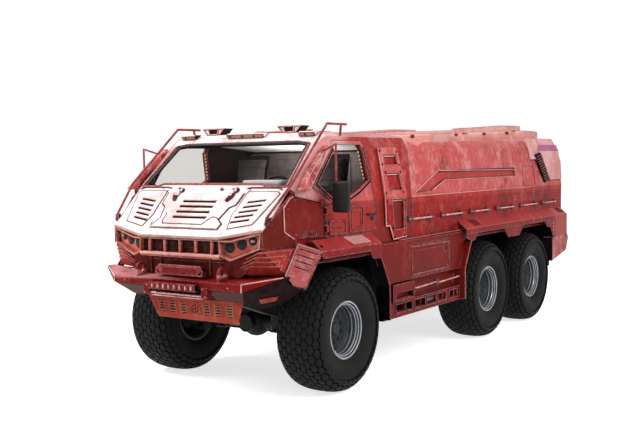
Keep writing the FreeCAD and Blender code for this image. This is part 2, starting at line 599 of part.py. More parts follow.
def rear_fender():
    start, stop = MIDDLE_Y - ARCH_Y - 19, BODY_END - 97
    top = fender_section(start, stop)
    tail = REAR_Y + 365
    front = outer_plate([(start, FENDER_LIP_Z + 60), (start + 160, FENDER_LIP_Z + 60),
                         (start + 322, FENDER_LIP_Z + 10), (start + 222, FENDER_LIP_Z - 90),
                         (start + 142, FENDER_LIP_Z - 98), (start, FENDER_LIP_Z - 60)])
    bridge_y = (MIDDLE_Y + REAR_Y) / 2
    bridge = outer_plate([(bridge_y - 416, FENDER_LIP_Z + 20), (bridge_y - 247, FENDER_LIP_Z - 135),
                          (bridge_y + 141, FENDER_LIP_Z - 136), (bridge_y + 324, FENDER_LIP_Z + 20)])
    side = outer_plate([(tail, FENDER_LIP_Z + 10), (tail + 103, FENDER_LIP_Z - 96),
                        (tail + 227, FENDER_LIP_Z - 97), (tail + 353, FENDER_LIP_Z - 266),
                        (stop, FENDER_LIP_Z - 248), (stop, FENDER_TOP_Z), (tail, FENDER_TOP_Z)])
    return fused([top, front, bridge, side])


SILL_OPENINGS = [(1034, 1403), (1474, 1719), (1769, 1999), (2051, 2264), (2346, 2568)]
LOCKER_Y, LOCKER_Z = (1369.0, 2370.0), (DECK_Z - 366, DECK_Z + 3)
SKIRT_T = 15.0


def side_skirt():
    front, back = ARCH_Y, MIDDLE_Y - ARCH_Y - 62
    mid = DECK_Z - 391
    face = prism([(front - 172, FENDER_LIP_Z), (front, mid), (back, mid), (back + 185, FENDER_LIP_Z),
                  (back + 185, DECK_Z + 60), (front - 172, DECK_Z + 60)], "x", SKIRT_X - SKIRT_T, SKIRT_X)
    ledge = prism([(BELT_X - 7, DECK_Z + 78), (SKIRT_X, DECK_Z + 60),
                   (SKIRT_X, DECK_Z + 45), (BELT_X - 7, DECK_Z + 45)], "y", front - 172, back + 185)
    locker_hole = box((SKIRT_X - 40, SKIRT_X + 5), LOCKER_Y, LOCKER_Z)
    sill_top = DECK_Z - 610
    sill = box((SKIRT_X - 90, SKIRT_X), (front, back), (SKIRT_Z, sill_top))
    holes = [box((SKIRT_X - 100, SKIRT_X + 10), y, (SKIRT_Z + 52, SKIRT_Z + 144)) for y in SILL_OPENINGS]
    recess = box((SKIRT_X - 90, SKIRT_X - 78), (front, back), (sill_top, mid + 20))
    step = box((SKIRT_X - 90, SKIRT_X + 26), (front + 170, front + 668), (sill_top, mid - 20))
    tread = box((SKIRT_X - 40, SKIRT_X + 40), (front + 240, front + 632), (sill_top + 24, sill_top + 100))
    flanges = [prism([(front - 172, FENDER_LIP_Z - 100), (front, mid), (front, SKIRT_Z + 20),
                      (front + SKIN * 2, SKIRT_Z + 20), (front + SKIN * 2, mid),
                      (front - 148, FENDER_LIP_Z - 100)], "x", SKIRT_X - 90, FENDER_X - 5)]
    flanges.append(prism([(back + 185, FENDER_LIP_Z - 102), (back, mid), (back, SKIRT_Z + 8),
                          (back - SKIN * 2, SKIRT_Z + 8), (back - SKIN * 2, mid),
                          (back + 161, FENDER_LIP_Z - 102)], "x", SKIRT_X - 90, FENDER_X - 5))
    ceiling = DECK_Z - FLOOR_T - FIT
    wall = box((SKIRT_X - 360, SKIRT_X - SKIRT_T), (LOCKER_Y[0] - 20, LOCKER_Y[1] + 20),
               (LOCKER_Z[0] - 20, ceiling))
    room = box((SKIRT_X - 348, SKIRT_X + 5), (LOCKER_Y[0] + 8, LOCKER_Y[1] - 8),
               (LOCKER_Z[0] + 8, ceiling - SKIN))
    body = fused([face, ledge, sill, recess, step] + flanges)
    body = body.cut(Part.makeCompound([tread, locker_hole] + holes))
    return body.fuse(wall.cut(room)).removeSplitter()


def locker_door():
    y, z = LOCKER_Y, LOCKER_Z
    return box((SKIRT_X - SKIRT_T + FIT, SKIRT_X), (y[0] + 5, y[1] - 5), (z[0] + 5, z[1] - 5))


def fender():
    """All fender pieces of one side."""
    return group([front_fender(), quarter_panel(), rear_fender()])


def rear_bumper():
    top, low = DECK_Z - 210, DECK_Z - 595
    end = prism([(REAR_Y + 745, top - 26), (BODY_END - 46, top), (BODY_END, top - 75),
                 (BODY_END - 92, low + 117), (REAR_Y + 723, low)], "x", BELT_X - 40, FENDER_X - 15)
    beam = box((-BELT_X, BELT_X), (BODY_END - 130, BODY_END - 20), (top - 260, top - 40))
    return fused([end, mirrored(end), beam])


# ---------------------------------------------------------------- passenger body
REAR_DOOR_X, REAR_DOOR_Z = 420.0, (DECK_Z + 30, DECK_Z + 1010)
REAR_WALL_T = 50.0


def body_profile(inset):
    low = DECK_Z - FLOOR_T if not inset else DECK_Z
    front = CAB_END + BODY_GAP + (WALL if inset else 0)
    back = BODY_END - (REAR_WALL_T if inset else 0)
    if inset:
        return [(front, low), (front, ROOF_DECK_Z - 60), (back, ROOF_DECK_Z - 60), (back, low)]
    return [(front, low), (front, roof_fall_z(front)), (NOTCH_Y, NOTCH_Z), (PARAPET_Y, PARAPET_Z),
            (PARAPET_END, PARAPET_END_Z), (PARAPET_END + 266, ROOF_DECK_Z + 44),
            (PARAPET_END + 230, ROOF_DECK_Z), (back, ROOF_DECK_Z), (back, low)]


def stripe_recess():
    """The long sunk band along the side, with its slanted run at the front."""
    top, low = DECK_Z + 843, DECK_Z + 720
    outline = [(1573, BELT_Z + 34), (2206, top), (REAR_Y - 400, top), (REAR_Y - 400, low),
               (2364, low), (2020, BELT_Z + 50)]
    return prism(outline, "x", BELT_X - 90, BELT_X + 50)


def passenger_body():
    outer = (prism(body_profile(0), "x", -1400, 1400)
             .common(prism(section(0, DECK_Z - 100, ROOF_Z), "y", 0, BODY_END + 10)))
    inner = (prism(body_profile(WALL), "x", -1400, 1400)
             .common(prism(section(WALL, DECK_Z - 100, ROOF_DECK_Z), "y", 0, BODY_END + 10)))
    trough = prism(mirrored_outline([(BELT_X - 150, ROOF_DECK_Z), (BELT_X - 190, ROOF_Z + 60)]), "y",
                   PARAPET_Y + 60, BODY_END + 5)
    band = stripe_recess().cut(prism(section(28, DECK_Z, ROOF_Z + 5), "y", 0, BODY_END))
    doorway = box((-REAR_DOOR_X, REAR_DOOR_X), (BODY_END - REAR_WALL_T - 5, BODY_END + 5), REAR_DOOR_Z)
    shell = outer.cut(Part.makeCompound([inner, trough, band, mirrored(band), doorway]))
    return fused([shell] + [part for z in REAR_HINGE_Z for part in rear_hinge(z)])


REAR_HINGE_X, REAR_HINGE_Y = -REAR_DOOR_X - 3, BODY_END + 16
REAR_HINGE_Z = (REAR_DOOR_Z[0] + 180, REAR_DOOR_Z[1] - 180)


def rear_hinge(z):
    """The body's half of a rear door hinge: two leaves with the pin between them."""
    half = HINGE_H / 2
    x, y = REAR_HINGE_X, REAR_HINGE_Y
    parts = [rod((x, y, z - half - LEAF_T), (x, y, z + half + LEAF_T), PIN_R)]
    for low in (z - half - LEAF_T, z + half):
        leaf = box((x - 60, x + 8), (BODY_END - 20, y + 9), (low, low + LEAF_T))
        notch = box((x - 4, x + 9), (BODY_END - 21, y - 9), (low - 1, low + LEAF_T + 1))
        parts.append(leaf.cut(notch))
    return parts


def rear_door():
    z0, z1 = REAR_DOOR_Z
    leaf = box((-REAR_DOOR_X + SEAM, REAR_DOOR_X - SEAM), (BODY_END - REAR_WALL_T, BODY_END),
               (z0 + SEAM, z1 - SEAM))
    x, y, half = REAR_HINGE_X, REAR_HINGE_Y, HINGE_H / 2 - FIT
    parts, holes = [leaf], []
    for z in REAR_HINGE_Z:
        parts.append(rod((x, y, z - half), (x, y, z + half), BARREL_R))
        parts.append(box((x + 4, x + 90), (y - 12, y + 10), (z - half, z + half)))
        parts.append(box((x + 15, x + 90), (BODY_END - 5, y - 10), (z - half, z + half)))
        holes.append(rod((x, y, z - HINGE_H), (x, y, z + HINGE_H), PIN_R + RUN))
    return fused(parts).cut(Part.makeCompound(holes))


def rear_pod():
    """Vented housing on the rear upper corner."""
    top = ROOF_Z - 14
    side = [(5130, ROOF_DECK_Z + 6), (5180, top), (6180, top), (6330, ROOF_DECK_Z - 60),
            (BODY_END - 20, DECK_Z + 640), (5660, DECK_Z + 632), (5420, DECK_Z + 950),
            (5290, DECK_Z + 958), (5150, DECK_Z + 950)]
    block = prism(side, "x", BELT_X - 140, BELT_X + 10)
    hull = (prism(body_profile(0), "x", -1400, 1400)
            .common(prism(section(-FIT, DECK_Z - 100, ROOF_Z), "y", 0, BODY_END + 10)))
    taper = prism([(BELT_X + 10, DECK_Z + 600), (BELT_X + 10, DECK_Z + 900), (BELT_X - 80, top + 5),
                   (BELT_X - 150, top + 5), (BELT_X - 150, DECK_Z + 600)], "y", 5000, BODY_END + 10)
    return block.common(taper).cut(hull).cut(hull.translated(V(0, FIT, FIT)))


def ladder_plate():
    """Armour plate with three sunk steps on the side behind the door."""
    skin = body_side(-24).cut(body_side(-FIT))
    outline = [(788, EAVE_Z - 128), (812, EAVE_Z - 116), (1190, EAVE_Z - 116), (1215, EAVE_Z - 150),
               (1330, DECK_Z + 640), (1338, DECK_Z + 110), (1040, DECK_Z + 90), (960, DECK_Z + 250),
               (880, DECK_Z + 250), (850, DECK_Z + 560)]
    plate_body = skin.common(prism(outline, "x", BELT_X - 200, BELT_X + 60))
    steps = [[(890, DECK_Z + 1035), (1160, DECK_Z + 1035), (1185, DECK_Z + 925), (905, DECK_Z + 925)],
             [(930, DECK_Z + 830), (1200, DECK_Z + 830), (1245, DECK_Z + 640), (965, DECK_Z + 640)],
             [(1000, DECK_Z + 540), (1262, DECK_Z + 540), (1272, DECK_Z + 200), (1060, DECK_Z + 200)]]
    cuts = [prism(s, "x", BELT_X - 200, BELT_X + 60) for s in steps]
    return plate_body.cut(Part.makeCompound(cuts))


def body_side(inset):
    """The straight body section between the door and the cab's end, inset or grown."""
    return prism(section(inset, DECK_Z, ROOF_DECK_Z), "y", DOOR_Y[1], CAB_END - 20)


# ---------------------------------------------------------------- roof
RACK_Y = (3136.0, 4700.0, 5400.0)    # front end, kink and rear end of the tray
RACK_X, RACK_DEPTH = 900.0, 70.0
RACK_TOP = ROOF_Z + 175.0
RACK_DROP = (80.0, 4.0, 0.0)         # how far the rim lies below RACK_TOP at each of them


def rack_low(y):
    """Height of the tray's lower edge."""
    i = 0 if y < RACK_Y[1] else 1
    share = (y - RACK_Y[i]) / (RACK_Y[i + 1] - RACK_Y[i])
    return RACK_TOP - RACK_DEPTH - RACK_DROP[i] - share * (RACK_DROP[i + 1] - RACK_DROP[i])


def roof_rack():
    """Tray with side boards and slats on raked legs, and the low boxes round it."""
    deck = ROOF_DECK_Z + FIT
    low = [(y, rack_low(y)) for y in RACK_Y]
    board = prism(low + [(y, z + RACK_DEPTH) for y, z in low[::-1]], "x", RACK_X - 20, RACK_X)
    legs = []
    for y in (RACK_Y[0] + 330, RACK_Y[2] - 300):
        top = rack_low(y + 100) + 30
        legs.append(prism([(y, deck), (y + 60, deck), (y + 160, top), (y + 60, top)],
                          "x", RACK_X - 50, RACK_X - 20))
    sides = [board, mirrored(board)] + legs + [mirrored(leg) for leg in legs]
    slats = [box((-RACK_X + 10, RACK_X - 10), (y, y + 70), (rack_low(y) + 8, rack_low(y) + 30))
             for y in range(int(RACK_Y[0]) + 40, int(RACK_Y[2]) - 60, 300)]
    return group([fused(sides + slats), roof_boxes()])


def roof_boxes():
    """Low boxes on the roof before and behind the tray."""
    deck = ROOF_DECK_Z + FIT
    rows = [(2544, 3110, ROOF_Z + 20, 880), (5560, 6200, ROOF_Z + 110, 860)]     # y0, y1, top, half width
    return group([prism([(y0, deck), (y0, top - 20), (y0 + 30, top), (y1 - 30, top), (y1, top - 20),
                         (y1, deck)], "x", -half, half) for y0, y1, top, half in rows])


ROOF_LAMP_X = 525.0


def roof_lamps():
    """Two flared lamp boxes, two side markers and the middle marker bar on the roof's front."""
    y = HEADER_Y - 70
    flared = prism([(ROOF_LAMP_X - 90, ROOF_Z + FIT), (ROOF_LAMP_X + 90, ROOF_Z + FIT),
                    (ROOF_LAMP_X + 160, ROOF_Z + 74), (ROOF_LAMP_X - 160, ROOF_Z + 74)], "y",
                   HEADER_Y + 2, HEADER_Y + 150)
    header = (ROOF_Z - SCREEN_TOP_Z) / (HEADER_Y - SCREEN_TOP_Y)
    face = [(y, SCREEN_TOP_Z + header * (y - SCREEN_TOP_Y) + FIT), (y - 24, ROOF_Z - 4), (y - 14, ROOF_Z + 8),
            (HEADER_Y + 10, ROOF_Z + 8), (HEADER_Y + 10, ROOF_Z + FIT), (HEADER_Y, ROOF_Z + FIT)]
    side = prism(face, "x", 720, 915)
    middle = prism(face, "x", -250, 250)
    return group([flared, mirrored(flared), side, mirrored(side), middle])


GUARD_R = 13.0


def guard_rail():
    """Tube guard from the hood's corner over the pillar to the roof."""
    foot = hood_z(-1000)
    path = [(cheek_x(-1007) - 15, -1007, foot - 30), (cheek_x(-1007) + 1, -1007, foot + 40),
            (cheek_x(-704) + 16, -704, ROOF_Z - 526),
            (1033, -12, ROOF_Z + 79), (1026, 356, ROOF_Z + 79)]
    post = rod((1012, 255, EAVE_Z), (1029, 255, ROOF_Z + 76), GUARD_R)
    return fused([bent_rod(path, GUARD_R), post]).cut(cab_hull(FIT))


MIRROR_X, MIRROR_Y = BELT_X + 136.0, -284.0


def mirror():
    """Mirror head on its upright rod, with arms to the pillar and the cheek."""
    top, low = EAVE_Z - 88, BELT_Z - 70
    rod_run = bent_rod([(BELT_X - 140, -225, top - 75), (BELT_X - 66, -227, top - 66), (MIRROR_X, MIRROR_Y, top),
                        (MIRROR_X, MIRROR_Y, low + 20)], 11)
    arm = bent_rod([(MIRROR_X, MIRROR_Y, BELT_Z + 4), (cheek_x(-300) - 4, -300, BELT_Z - 4)], 12)
    head = box((MIRROR_X - 44, MIRROR_X + 156), (MIRROR_Y - 30, MIRROR_Y + 30), (low - 16, low + 300))
    return fused([rod_run, arm, head]).cut(cab_hull(FIT))


# ---------------------------------------------------------------- chassis
CROSS_Y = (-840, 800, 2600, 4235, 5600)
# y and half length of the bearers that carry the cab and the body
BEARERS = [(-550, RAIL_X + 10), (300, RAIL_X + 10), (1350, 700), (2300, 700), (3480, 700), (4235, 700),
           (4990, 700), (6000, 700)]


def chassis_frame():
    """Two channel rails, their cross members and the bearers on top."""
    start, stop = LIP_Y + 200 + FIT, BODY_END - 130 - FIT
    rail = box((RAIL_X - RAIL_FLANGE, RAIL_X), (start, stop), (RAIL_Z, RAIL_TOP))
    hollow = box((RAIL_X - RAIL_FLANGE - 1, RAIL_X - 10), (start - 1, stop + 1), (RAIL_Z + 10, RAIL_TOP - 10))
    nose = box((RAIL_X - RAIL_FLANGE - 1, RAIL_X + 1), (start - 1, start + 70), (RAIL_Z - 1, RAIL_Z + 60))
    rail = rail.cut(Part.makeCompound([hollow, nose]))
    inner = RAIL_X - 10 - FIT
    cross = [box((-inner, inner), (y - 40, y + 40), (RAIL_Z + 70, RAIL_TOP - 20)) for y in CROSS_Y]
    bearers = [box((-x, x), (y - 35, y + 35), (RAIL_TOP + FIT, DECK_Z - FLOOR_T - FIT)) for y, x in BEARERS]
    return group([rail, mirrored(rail)] + cross + bearers)


DIFF_X, DIFF_REACH = 60.0, 205.0


def axle_beam(y, diff_x, end):
    tube = rod((-end, y, WHEEL_Z), (end, y, WHEEL_Z), 82)
    ball = Part.makeSphere(DIFF_R, V(diff_x, y, WHEEL_Z), V(0, 1, 0))
    cover = rod((diff_x, y - DIFF_REACH, WHEEL_Z), (diff_x, y + DIFF_REACH, WHEEL_Z), 95)
    return fused([tube, ball, cover])


YOKE_X = KINGPIN_X - 130.0
PAD_H = 92.0                 # spring pads above the axle's middle


def front_axle():
    beam = axle_beam(0, DIFF_X, YOKE_X + 20)
    yokes = []
    for s in (-1, 1):
        x0, x1 = sorted((s * YOKE_X, s * (KINGPIN_X + 45)))
        root = box(sorted((s * (YOKE_X - 40), s * YOKE_X)), (-60, 60), (WHEEL_Z - 160, WHEEL_Z + 160))
        arms = [box((x0, x1), (-50, 50), (WHEEL_Z + a, WHEEL_Z + b)) for a, b in ((120, 160), (-160, -120))]
        pin = rod((s * KINGPIN_X, 0, WHEEL_Z - 170), (s * KINGPIN_X, 0, WHEEL_Z + 170), KINGPIN_R)
        yokes += [root] + [a.cut(pin) for a in arms]
    pads = [box((x - 45, x + 45), (-90, 90), (WHEEL_Z, WHEEL_Z + PAD_H)) for x in (-SPRING_X, SPRING_X)]
    return fused([beam] + yokes + pads)


def rear_axles():
    """Both driven beams of the bogie, each with a spindle for its wheels."""
    beams = []
    for y in (MIDDLE_Y, REAR_Y):
        beam = axle_beam(y, 0, WHEEL_X - HUB_FACE - 3)
        spindle = rod((-WHEEL_X - 20, y, WHEEL_Z), (WHEEL_X + 20, y, WHEEL_Z), SPINDLE_R)
        pads = [box((x - 45, x + 45), (y - 90, y + 90), (WHEEL_Z, WHEEL_Z + PAD_H))
                for x in (-SPRING_X, SPRING_X)]
        beams.append(fused([beam, spindle] + pads))
    return group(beams)


def knuckle(side):
    """Left (1) or right (-1) steering knuckle: kingpin, housing, spindle and steering arm."""
    x = side * KINGPIN_X
    pin = rod((x, 0, WHEEL_Z - 160), (x, 0, WHEEL_Z + 160), KINGPIN_R - RUN)
    ball = Part.makeSphere(100, V(x, 0, WHEEL_Z))
    ball = ball.common(box((x - 100, x + 100), (-100, 100), (WHEEL_Z - 100, WHEEL_Z + 100)))
    spindle = rod((x, 0, WHEEL_Z), (side * (WHEEL_X + 20), 0, WHEEL_Z), SPINDLE_R)
    low, high = WHEEL_Z - TIE_DROP + 22, WHEEL_Z - TIE_DROP + 52
    arm = fused([box((x - 20, x + 20), (55, STEER_ARM), (low, high)),
                 box((x - 20, x + 20), (55, 90), (low, WHEEL_Z))])
    eye = rod((x, STEER_ARM, low), (x, STEER_ARM, high), 26)
    hole = rod((x, STEER_ARM, low - 5), (x, STEER_ARM, high + 5), TIE_PIN_R + RUN)
    return fused([pin, ball, spindle, arm, eye]).cut(hole)


def tie_rod():
    x = KINGPIN_X
    z = WHEEL_Z - TIE_DROP
    bar = rod((-x, STEER_ARM, z), (x, STEER_ARM, z), 18)
    ends = [rod((s * x, STEER_ARM, z - 20), (s * x, STEER_ARM, z + 22 - FIT), 24) for s in (-1, 1)]
    pins = [rod((s * x, STEER_ARM, z), (s * x, STEER_ARM, z + 52), TIE_PIN_R) for s in (-1, 1)]
    return fused([bar] + ends + pins)


SPRING_RISE, SADDLE_H = 0.3565, 34.4     # share of the height that the curved ends take, saddle over the pads


def leaf_springs():
    """Front packs hang under the rails; the bogie packs sit on a saddle and rest on both beams."""
    x0, x1 = SPRING_X - SPRING_W / 2, SPRING_X + SPRING_W / 2
    seat, eye = WHEEL_Z + PAD_H + FIT, RAIL_Z - FIT
    pack, saddle = eye - SPRING_RISE * (eye - seat), seat + SADDLE_H
    front = prism([(-690, eye - 34), (-690, eye), (-560, eye), (-250, pack), (250, pack), (560, eye),
                   (690, eye), (690, eye - 34), (260, seat + 40), (110, seat), (-110, seat),
                   (-260, seat + 40)], "x", x0, x1)
    middle = (MIDDLE_Y + REAR_Y) / 2
    rear = prism([(MIDDLE_Y - 85, seat), (MIDDLE_Y - 85, seat + 30), (middle - 150, eye - 60),
                  (middle - 150, eye), (middle + 150, eye), (middle + 150, eye - 60), (REAR_Y + 85, seat + 30),
                  (REAR_Y + 85, seat), (REAR_Y - 85, seat), (middle + 160, saddle),
                  (middle - 160, saddle), (MIDDLE_Y + 85, seat)], "x", x0, x1)
    return group([front, mirrored(front), rear, mirrored(rear)])


ENGINE_Y, ENGINE_X = (-560.0, 460.0), RAIL_X - RAIL_FLANGE - 50.0
ENGINE_Z = (WHEEL_Z + DIFF_R + 12, RAIL_TOP - FIT)


def engine_block():
    """The engine as one plain block between the rails under the cab."""
    return box((-ENGINE_X, ENGINE_X), ENGINE_Y, ENGINE_Z)


TRANSFER_Y, CASE_DROP = (1500.0, 1900.0), 97.0       # its middle below the rails


def shaft(start, end, y0, y1):
    """A propeller shaft cut off square at two planes."""
    return rod(start, end, 45).common(box((-500, 500), (y0, y1), (0, DECK_Z)))


def driveline():
    """Transfer case, hung on its own cross member, and the propeller shafts."""
    z = RAIL_Z - CASE_DROP
    y0, y1 = TRANSFER_Y
    case = box((-220, 220), (y0, y1), (z - 150, z + 160))
    hanger = box((-RAIL_X + 10 + FIT, RAIL_X - 10 - FIT), (y0 + 150, y1 - 150), (z + 120, RAIL_TOP - 20))
    reach, flat = DIFF_REACH + FIT, REAR_Y
    shafts = [shaft((0, ENGINE_Y[1] - 30, z + 120), (0, y0 + 20, z + 60), ENGINE_Y[1] + FIT, flat),
              shaft((DIFF_X, reach - 30, WHEEL_Z + 20), (DIFF_X, y0 + 20, z - 80), reach, flat),
              shaft((0, y1 - 20, z), (0, MIDDLE_Y - reach + 30, WHEEL_Z + 30), 0, MIDDLE_Y - reach)]
    last = rod((0, MIDDLE_Y + reach, WHEEL_Z), (0, REAR_Y - reach, WHEEL_Z), 45)
    return group([fused([case, hanger] + shafts), last])


def fuel_tank():
    return box((RAIL_X + FIT, SKIRT_X - 380), (980, 2560), (DECK_Z - 640, DECK_Z - 240))


HITCH_R, HITCH_H = 21.0, 180.0


def tow_hitch():
    """Rear towing jaw with an upright pin hole."""
    top = DECK_Z - 250
    face = BODY_END - 20 + FIT
    pin_y = TAIL_REACH - 55
    jaw = prism([(-60, face + 20), (60, face + 20), (60, TAIL_REACH - 40), (40, TAIL_REACH),
                 (-40, TAIL_REACH), (-60, TAIL_REACH - 40)], "z", top - HITCH_H, top)
    back = box((-120, 120), (face, face + 22), (top - HITCH_H - 20, top + 20))
    return fused([jaw, back]).cut(rod((0, pin_y, top - HITCH_H - 30), (0, pin_y, top + 30), HITCH_R))


# ---------------------------------------------------------------- wheels
def tyre(side, y):
    """Low-pressure tyre with a rounded shoulder, on its bead seats."""
    half, out, bead = TYRE_W / 2, TYRE_D / 2, RIM_R + FIT
    arc = [(RIM_W / 2 - 15, bead), (RIM_W / 2 - 13, FLANGE_R + 4), (half - 12, out * 0.60), (half, out * 0.72),
           (half - 10, out * 0.86), (half - 42, out * 0.955), (half - 105, out - 8), (half - 190, out)]
    profile = arc + [(-x, r) for x, r in reversed(arc)]
    inner = [(-RIM_W / 2 + 40, bead), (-RIM_W / 2 + 40, bead + 60), (-half + 60, out * 0.72),
             (-half + 90, out - 70), (half - 90, out - 70), (half - 60, out * 0.72),
             (RIM_W / 2 - 40, bead + 60), (RIM_W / 2 - 40, bead)]
    return turned(profile + inner, side * WHEEL_X, y, WHEEL_Z)


def rim(side, y):
    """Deep-dished steel rim with a closed hub; side is 1 on the left."""
    w, t = RIM_W / 2, 12.0
    shape = [(w + 2, FLANGE_R), (w - 12, FLANGE_R), (w - 14, RIM_R), (-w + 14, RIM_R),
             (-w + 12, FLANGE_R), (-w - 2, FLANGE_R), (-w - 2, RIM_R - t), (62, RIM_R - t),
             (48, 170), (30, 160), (-HUB_FACE, 160), (-HUB_FACE, HUB_R), (-HUB_FACE, SPINDLE_R + RUN),
             (20 + FIT, SPINDLE_R + RUN),
             (20 + FIT, 0), (150, 0), (150, 62), (128, 88), (92, 100), (74, 128), (66, 190), (84, 228),
             (150, 238), (165, RIM_R - t), (w + 2, RIM_R - t)]
    return turned([(side * a, r) for a, r in shape], side * WHEEL_X, y, WHEEL_Z)


# ---------------------------------------------------------------- cab interior
DRIVER_X = 560.0
SEAT_Z = DECK_Z + 330.0
HAND_RING_R, HAND_GRIP_R = 225.0, 15.0
COLUMN_SHARE = 0.86          # share of the column that belongs to the dashboard
COLUMN = ((DRIVER_X, -430.0, DECK_Z + 420.0), (DRIVER_X, -120.0, DECK_Z + 640.0))


def dashboard():
    """Instrument panel across the cab, with the steering column's bracket."""
    front = FIREWALL_Y + FIREWALL_T + FIT
    panel = prism([(front, DECK_Z + 380), (front, DECK_Z + 640), (-470, DECK_Z + 700), (-330, DECK_Z + 640),
                   (-330, DECK_Z + 560), (-400, DECK_Z + 400)], "x", -930, 930)
    hump = prism([(front + 60, DECK_Z + 640), (-500, DECK_Z + 762), (-360, DECK_Z + 742), (-320, DECK_Z + 640)],
                 "x", DRIVER_X - 210, DRIVER_X + 250)
    legs = [box((x - 25, x + 25), (front, front + 60), (DECK_Z + FIT, DECK_Z + 390)) for x in (-700, 0, 700)]
    a, b = V(*COLUMN[0]), V(*COLUMN[1])
    column = rod(tuple(a), tuple(a + (b - a) * COLUMN_SHARE), 34)
    return fused([panel, hump, column] + legs)


def steering_wheel():
    """Rim, three spokes, hub and shaft, built upright and then tilted onto the column."""
    a, b = V(*COLUMN[0]), V(*COLUMN[1])
    length = (b - a).Length * (1 - COLUMN_SHARE) - FIT
    ring = Part.makeTorus(HAND_RING_R, HAND_GRIP_R)
    hub = Part.makeCylinder(52, 40, V(0, 0, -30))
    shaft = Part.makeCylinder(18, length, V(0, 0, -length))
    spokes = []
    for turn in (90, 210, 330):
        spoke = box((30, HAND_RING_R - 4), (-14, 14), (-7, 7))
        spokes.append(spoke.rotate(V(0, 0, 0), V(0, 0, 1), turn))
    wheel = fused([ring, hub, shaft] + spokes)
    wheel.Placement = FreeCAD.Placement(b, FreeCAD.Rotation(V(0, 0, 1), b - a))
    return wheel


SEAT_TABLE = [(-DRIVER_X, 180.0), (DRIVER_X, 180.0)]     # x, front edge


SEAT_BACK_FRAME = [(480, -40), (480, 60), (504.9, 100), (640.4, 720), (664, 715), (530, 90), (510, -40)]


def seat_frames():
    """Pedestals of the cab seats and the bench boxes in the passenger body."""
    pieces = []
    for x, y in SEAT_TABLE:
        pieces.append(fused([box((x - 200, x + 200), (y + 40, y + 440), (DECK_Z + FIT, SEAT_Z - 40)),
                             box((x - 235, x + 235), (y + 10, y + 480), (SEAT_Z - 40, SEAT_Z - FIT)),
                             prism([(y + dy, SEAT_Z + dz) for dy, dz in SEAT_BACK_FRAME], "x", x - 200, x + 200)]))
    for s in (-1, 1):
        x0, x1 = sorted((s * (BELT_X - WALL - 20), s * (BELT_X - 440)))
        pieces.append(box((x0, x1), BENCH_Y, (DECK_Z + FIT, SEAT_Z - 60 - FIT)))
    return group(pieces)


BENCH_Y = (1900.0, 5700.0)


def seat_cushions():
    """Plain soft solids: each cab seat's cushion and back, and the two long benches."""
    pieces = []
    for x, y in SEAT_TABLE:
        pieces.append(box((x - 240, x + 240), (y, y + 470), (SEAT_Z, SEAT_Z + 120)))
        pieces.append(prism([(y + 400, SEAT_Z + 125), (y + 510, SEAT_Z + 125), (y + 640, SEAT_Z + 720),
                             (y + 545, SEAT_Z + 740)], "x", x - 235, x + 235))
    for s in (-1, 1):
        x0, x1 = sorted((s * (BELT_X - WALL - 20), s * (BELT_X - 460)))
        pieces.append(box((x0, x1), BENCH_Y, (SEAT_Z - 60, SEAT_Z + 40)))
    return group(pieces)


# ---------------------------------------------------------------- build
def main():
    os.makedirs("parts", exist_ok=True)
    single = {
        "chassis_frame": chassis_frame, "front_axle": front_axle, "rear_axles": rear_axles,
        "leaf_springs": leaf_springs, "engine_block": engine_block, "driveline": driveline,
        "tow_hitch": tow_hitch, "tie_rod": tie_rod, "cab_shell": cab_shell, "cab_floor": cab_floor,
        "windshield": windshield,
        "nose_shell": nose_shell, "hood_lid": hood_lid, "grille_frame": grille_frame,
        "front_lamps": front_lamps, "bumper": bumper, "skid_plate": skid_plate,
        "rear_bumper": rear_bumper, "passenger_body": passenger_body, "rear_door": rear_door,
        "roof_rack": roof_rack, "roof_lamps": roof_lamps,
        "dashboard": dashboard, "steering_wheel": steering_wheel, "seat_frames": seat_frames,
        "seat_cushions": seat_cushions,
    }
    paired = {
        "fuel_tanks": fuel_tank, "fenders": fender,
        "side_skirts": side_skirt, "rear_pods": rear_pod, "ladder_plates": ladder_plate,
        "guard_rails": guard_rail, "mirrors": mirror,
    }
    handed = {"door": door, "door_glass": door_glass, "locker_door": locker_door}
    for node, make in single.items():
        save(node, make())
    for node, make in paired.items():
        save(node, pair(make()))
    for node, make in handed.items():
        left = make()
        save(node + "_left", left)
        save(node + "_right", mirrored(left))
    for name, side in (("left", 1), ("right", -1)):
        save("knuckle_" + name, knuckle(side))
        for axle, y in (("front", 0.0), ("middle", MIDDLE_Y), ("rear", REAR_Y)):
            save("tyre_" + axle + "_" + name, tyre(side, y))
            save("rim_" + axle + "_" + name, rim(side, y))


main()
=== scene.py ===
import math

import bmesh
import bpy
from mathutils import Matrix, Vector


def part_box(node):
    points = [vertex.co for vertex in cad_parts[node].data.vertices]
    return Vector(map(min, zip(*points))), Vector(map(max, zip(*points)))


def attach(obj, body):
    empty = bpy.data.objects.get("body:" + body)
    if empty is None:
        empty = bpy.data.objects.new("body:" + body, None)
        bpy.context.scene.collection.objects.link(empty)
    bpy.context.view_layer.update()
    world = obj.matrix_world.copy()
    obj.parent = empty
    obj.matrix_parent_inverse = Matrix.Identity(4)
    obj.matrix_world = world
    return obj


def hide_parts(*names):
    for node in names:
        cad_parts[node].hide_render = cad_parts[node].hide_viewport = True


# Off-road passenger truck. Drawing sizes are millimetres: x to the vehicle's left, y rearwards
# from the front axle, z from the ground. Every piece is built on the bench and then put in place.

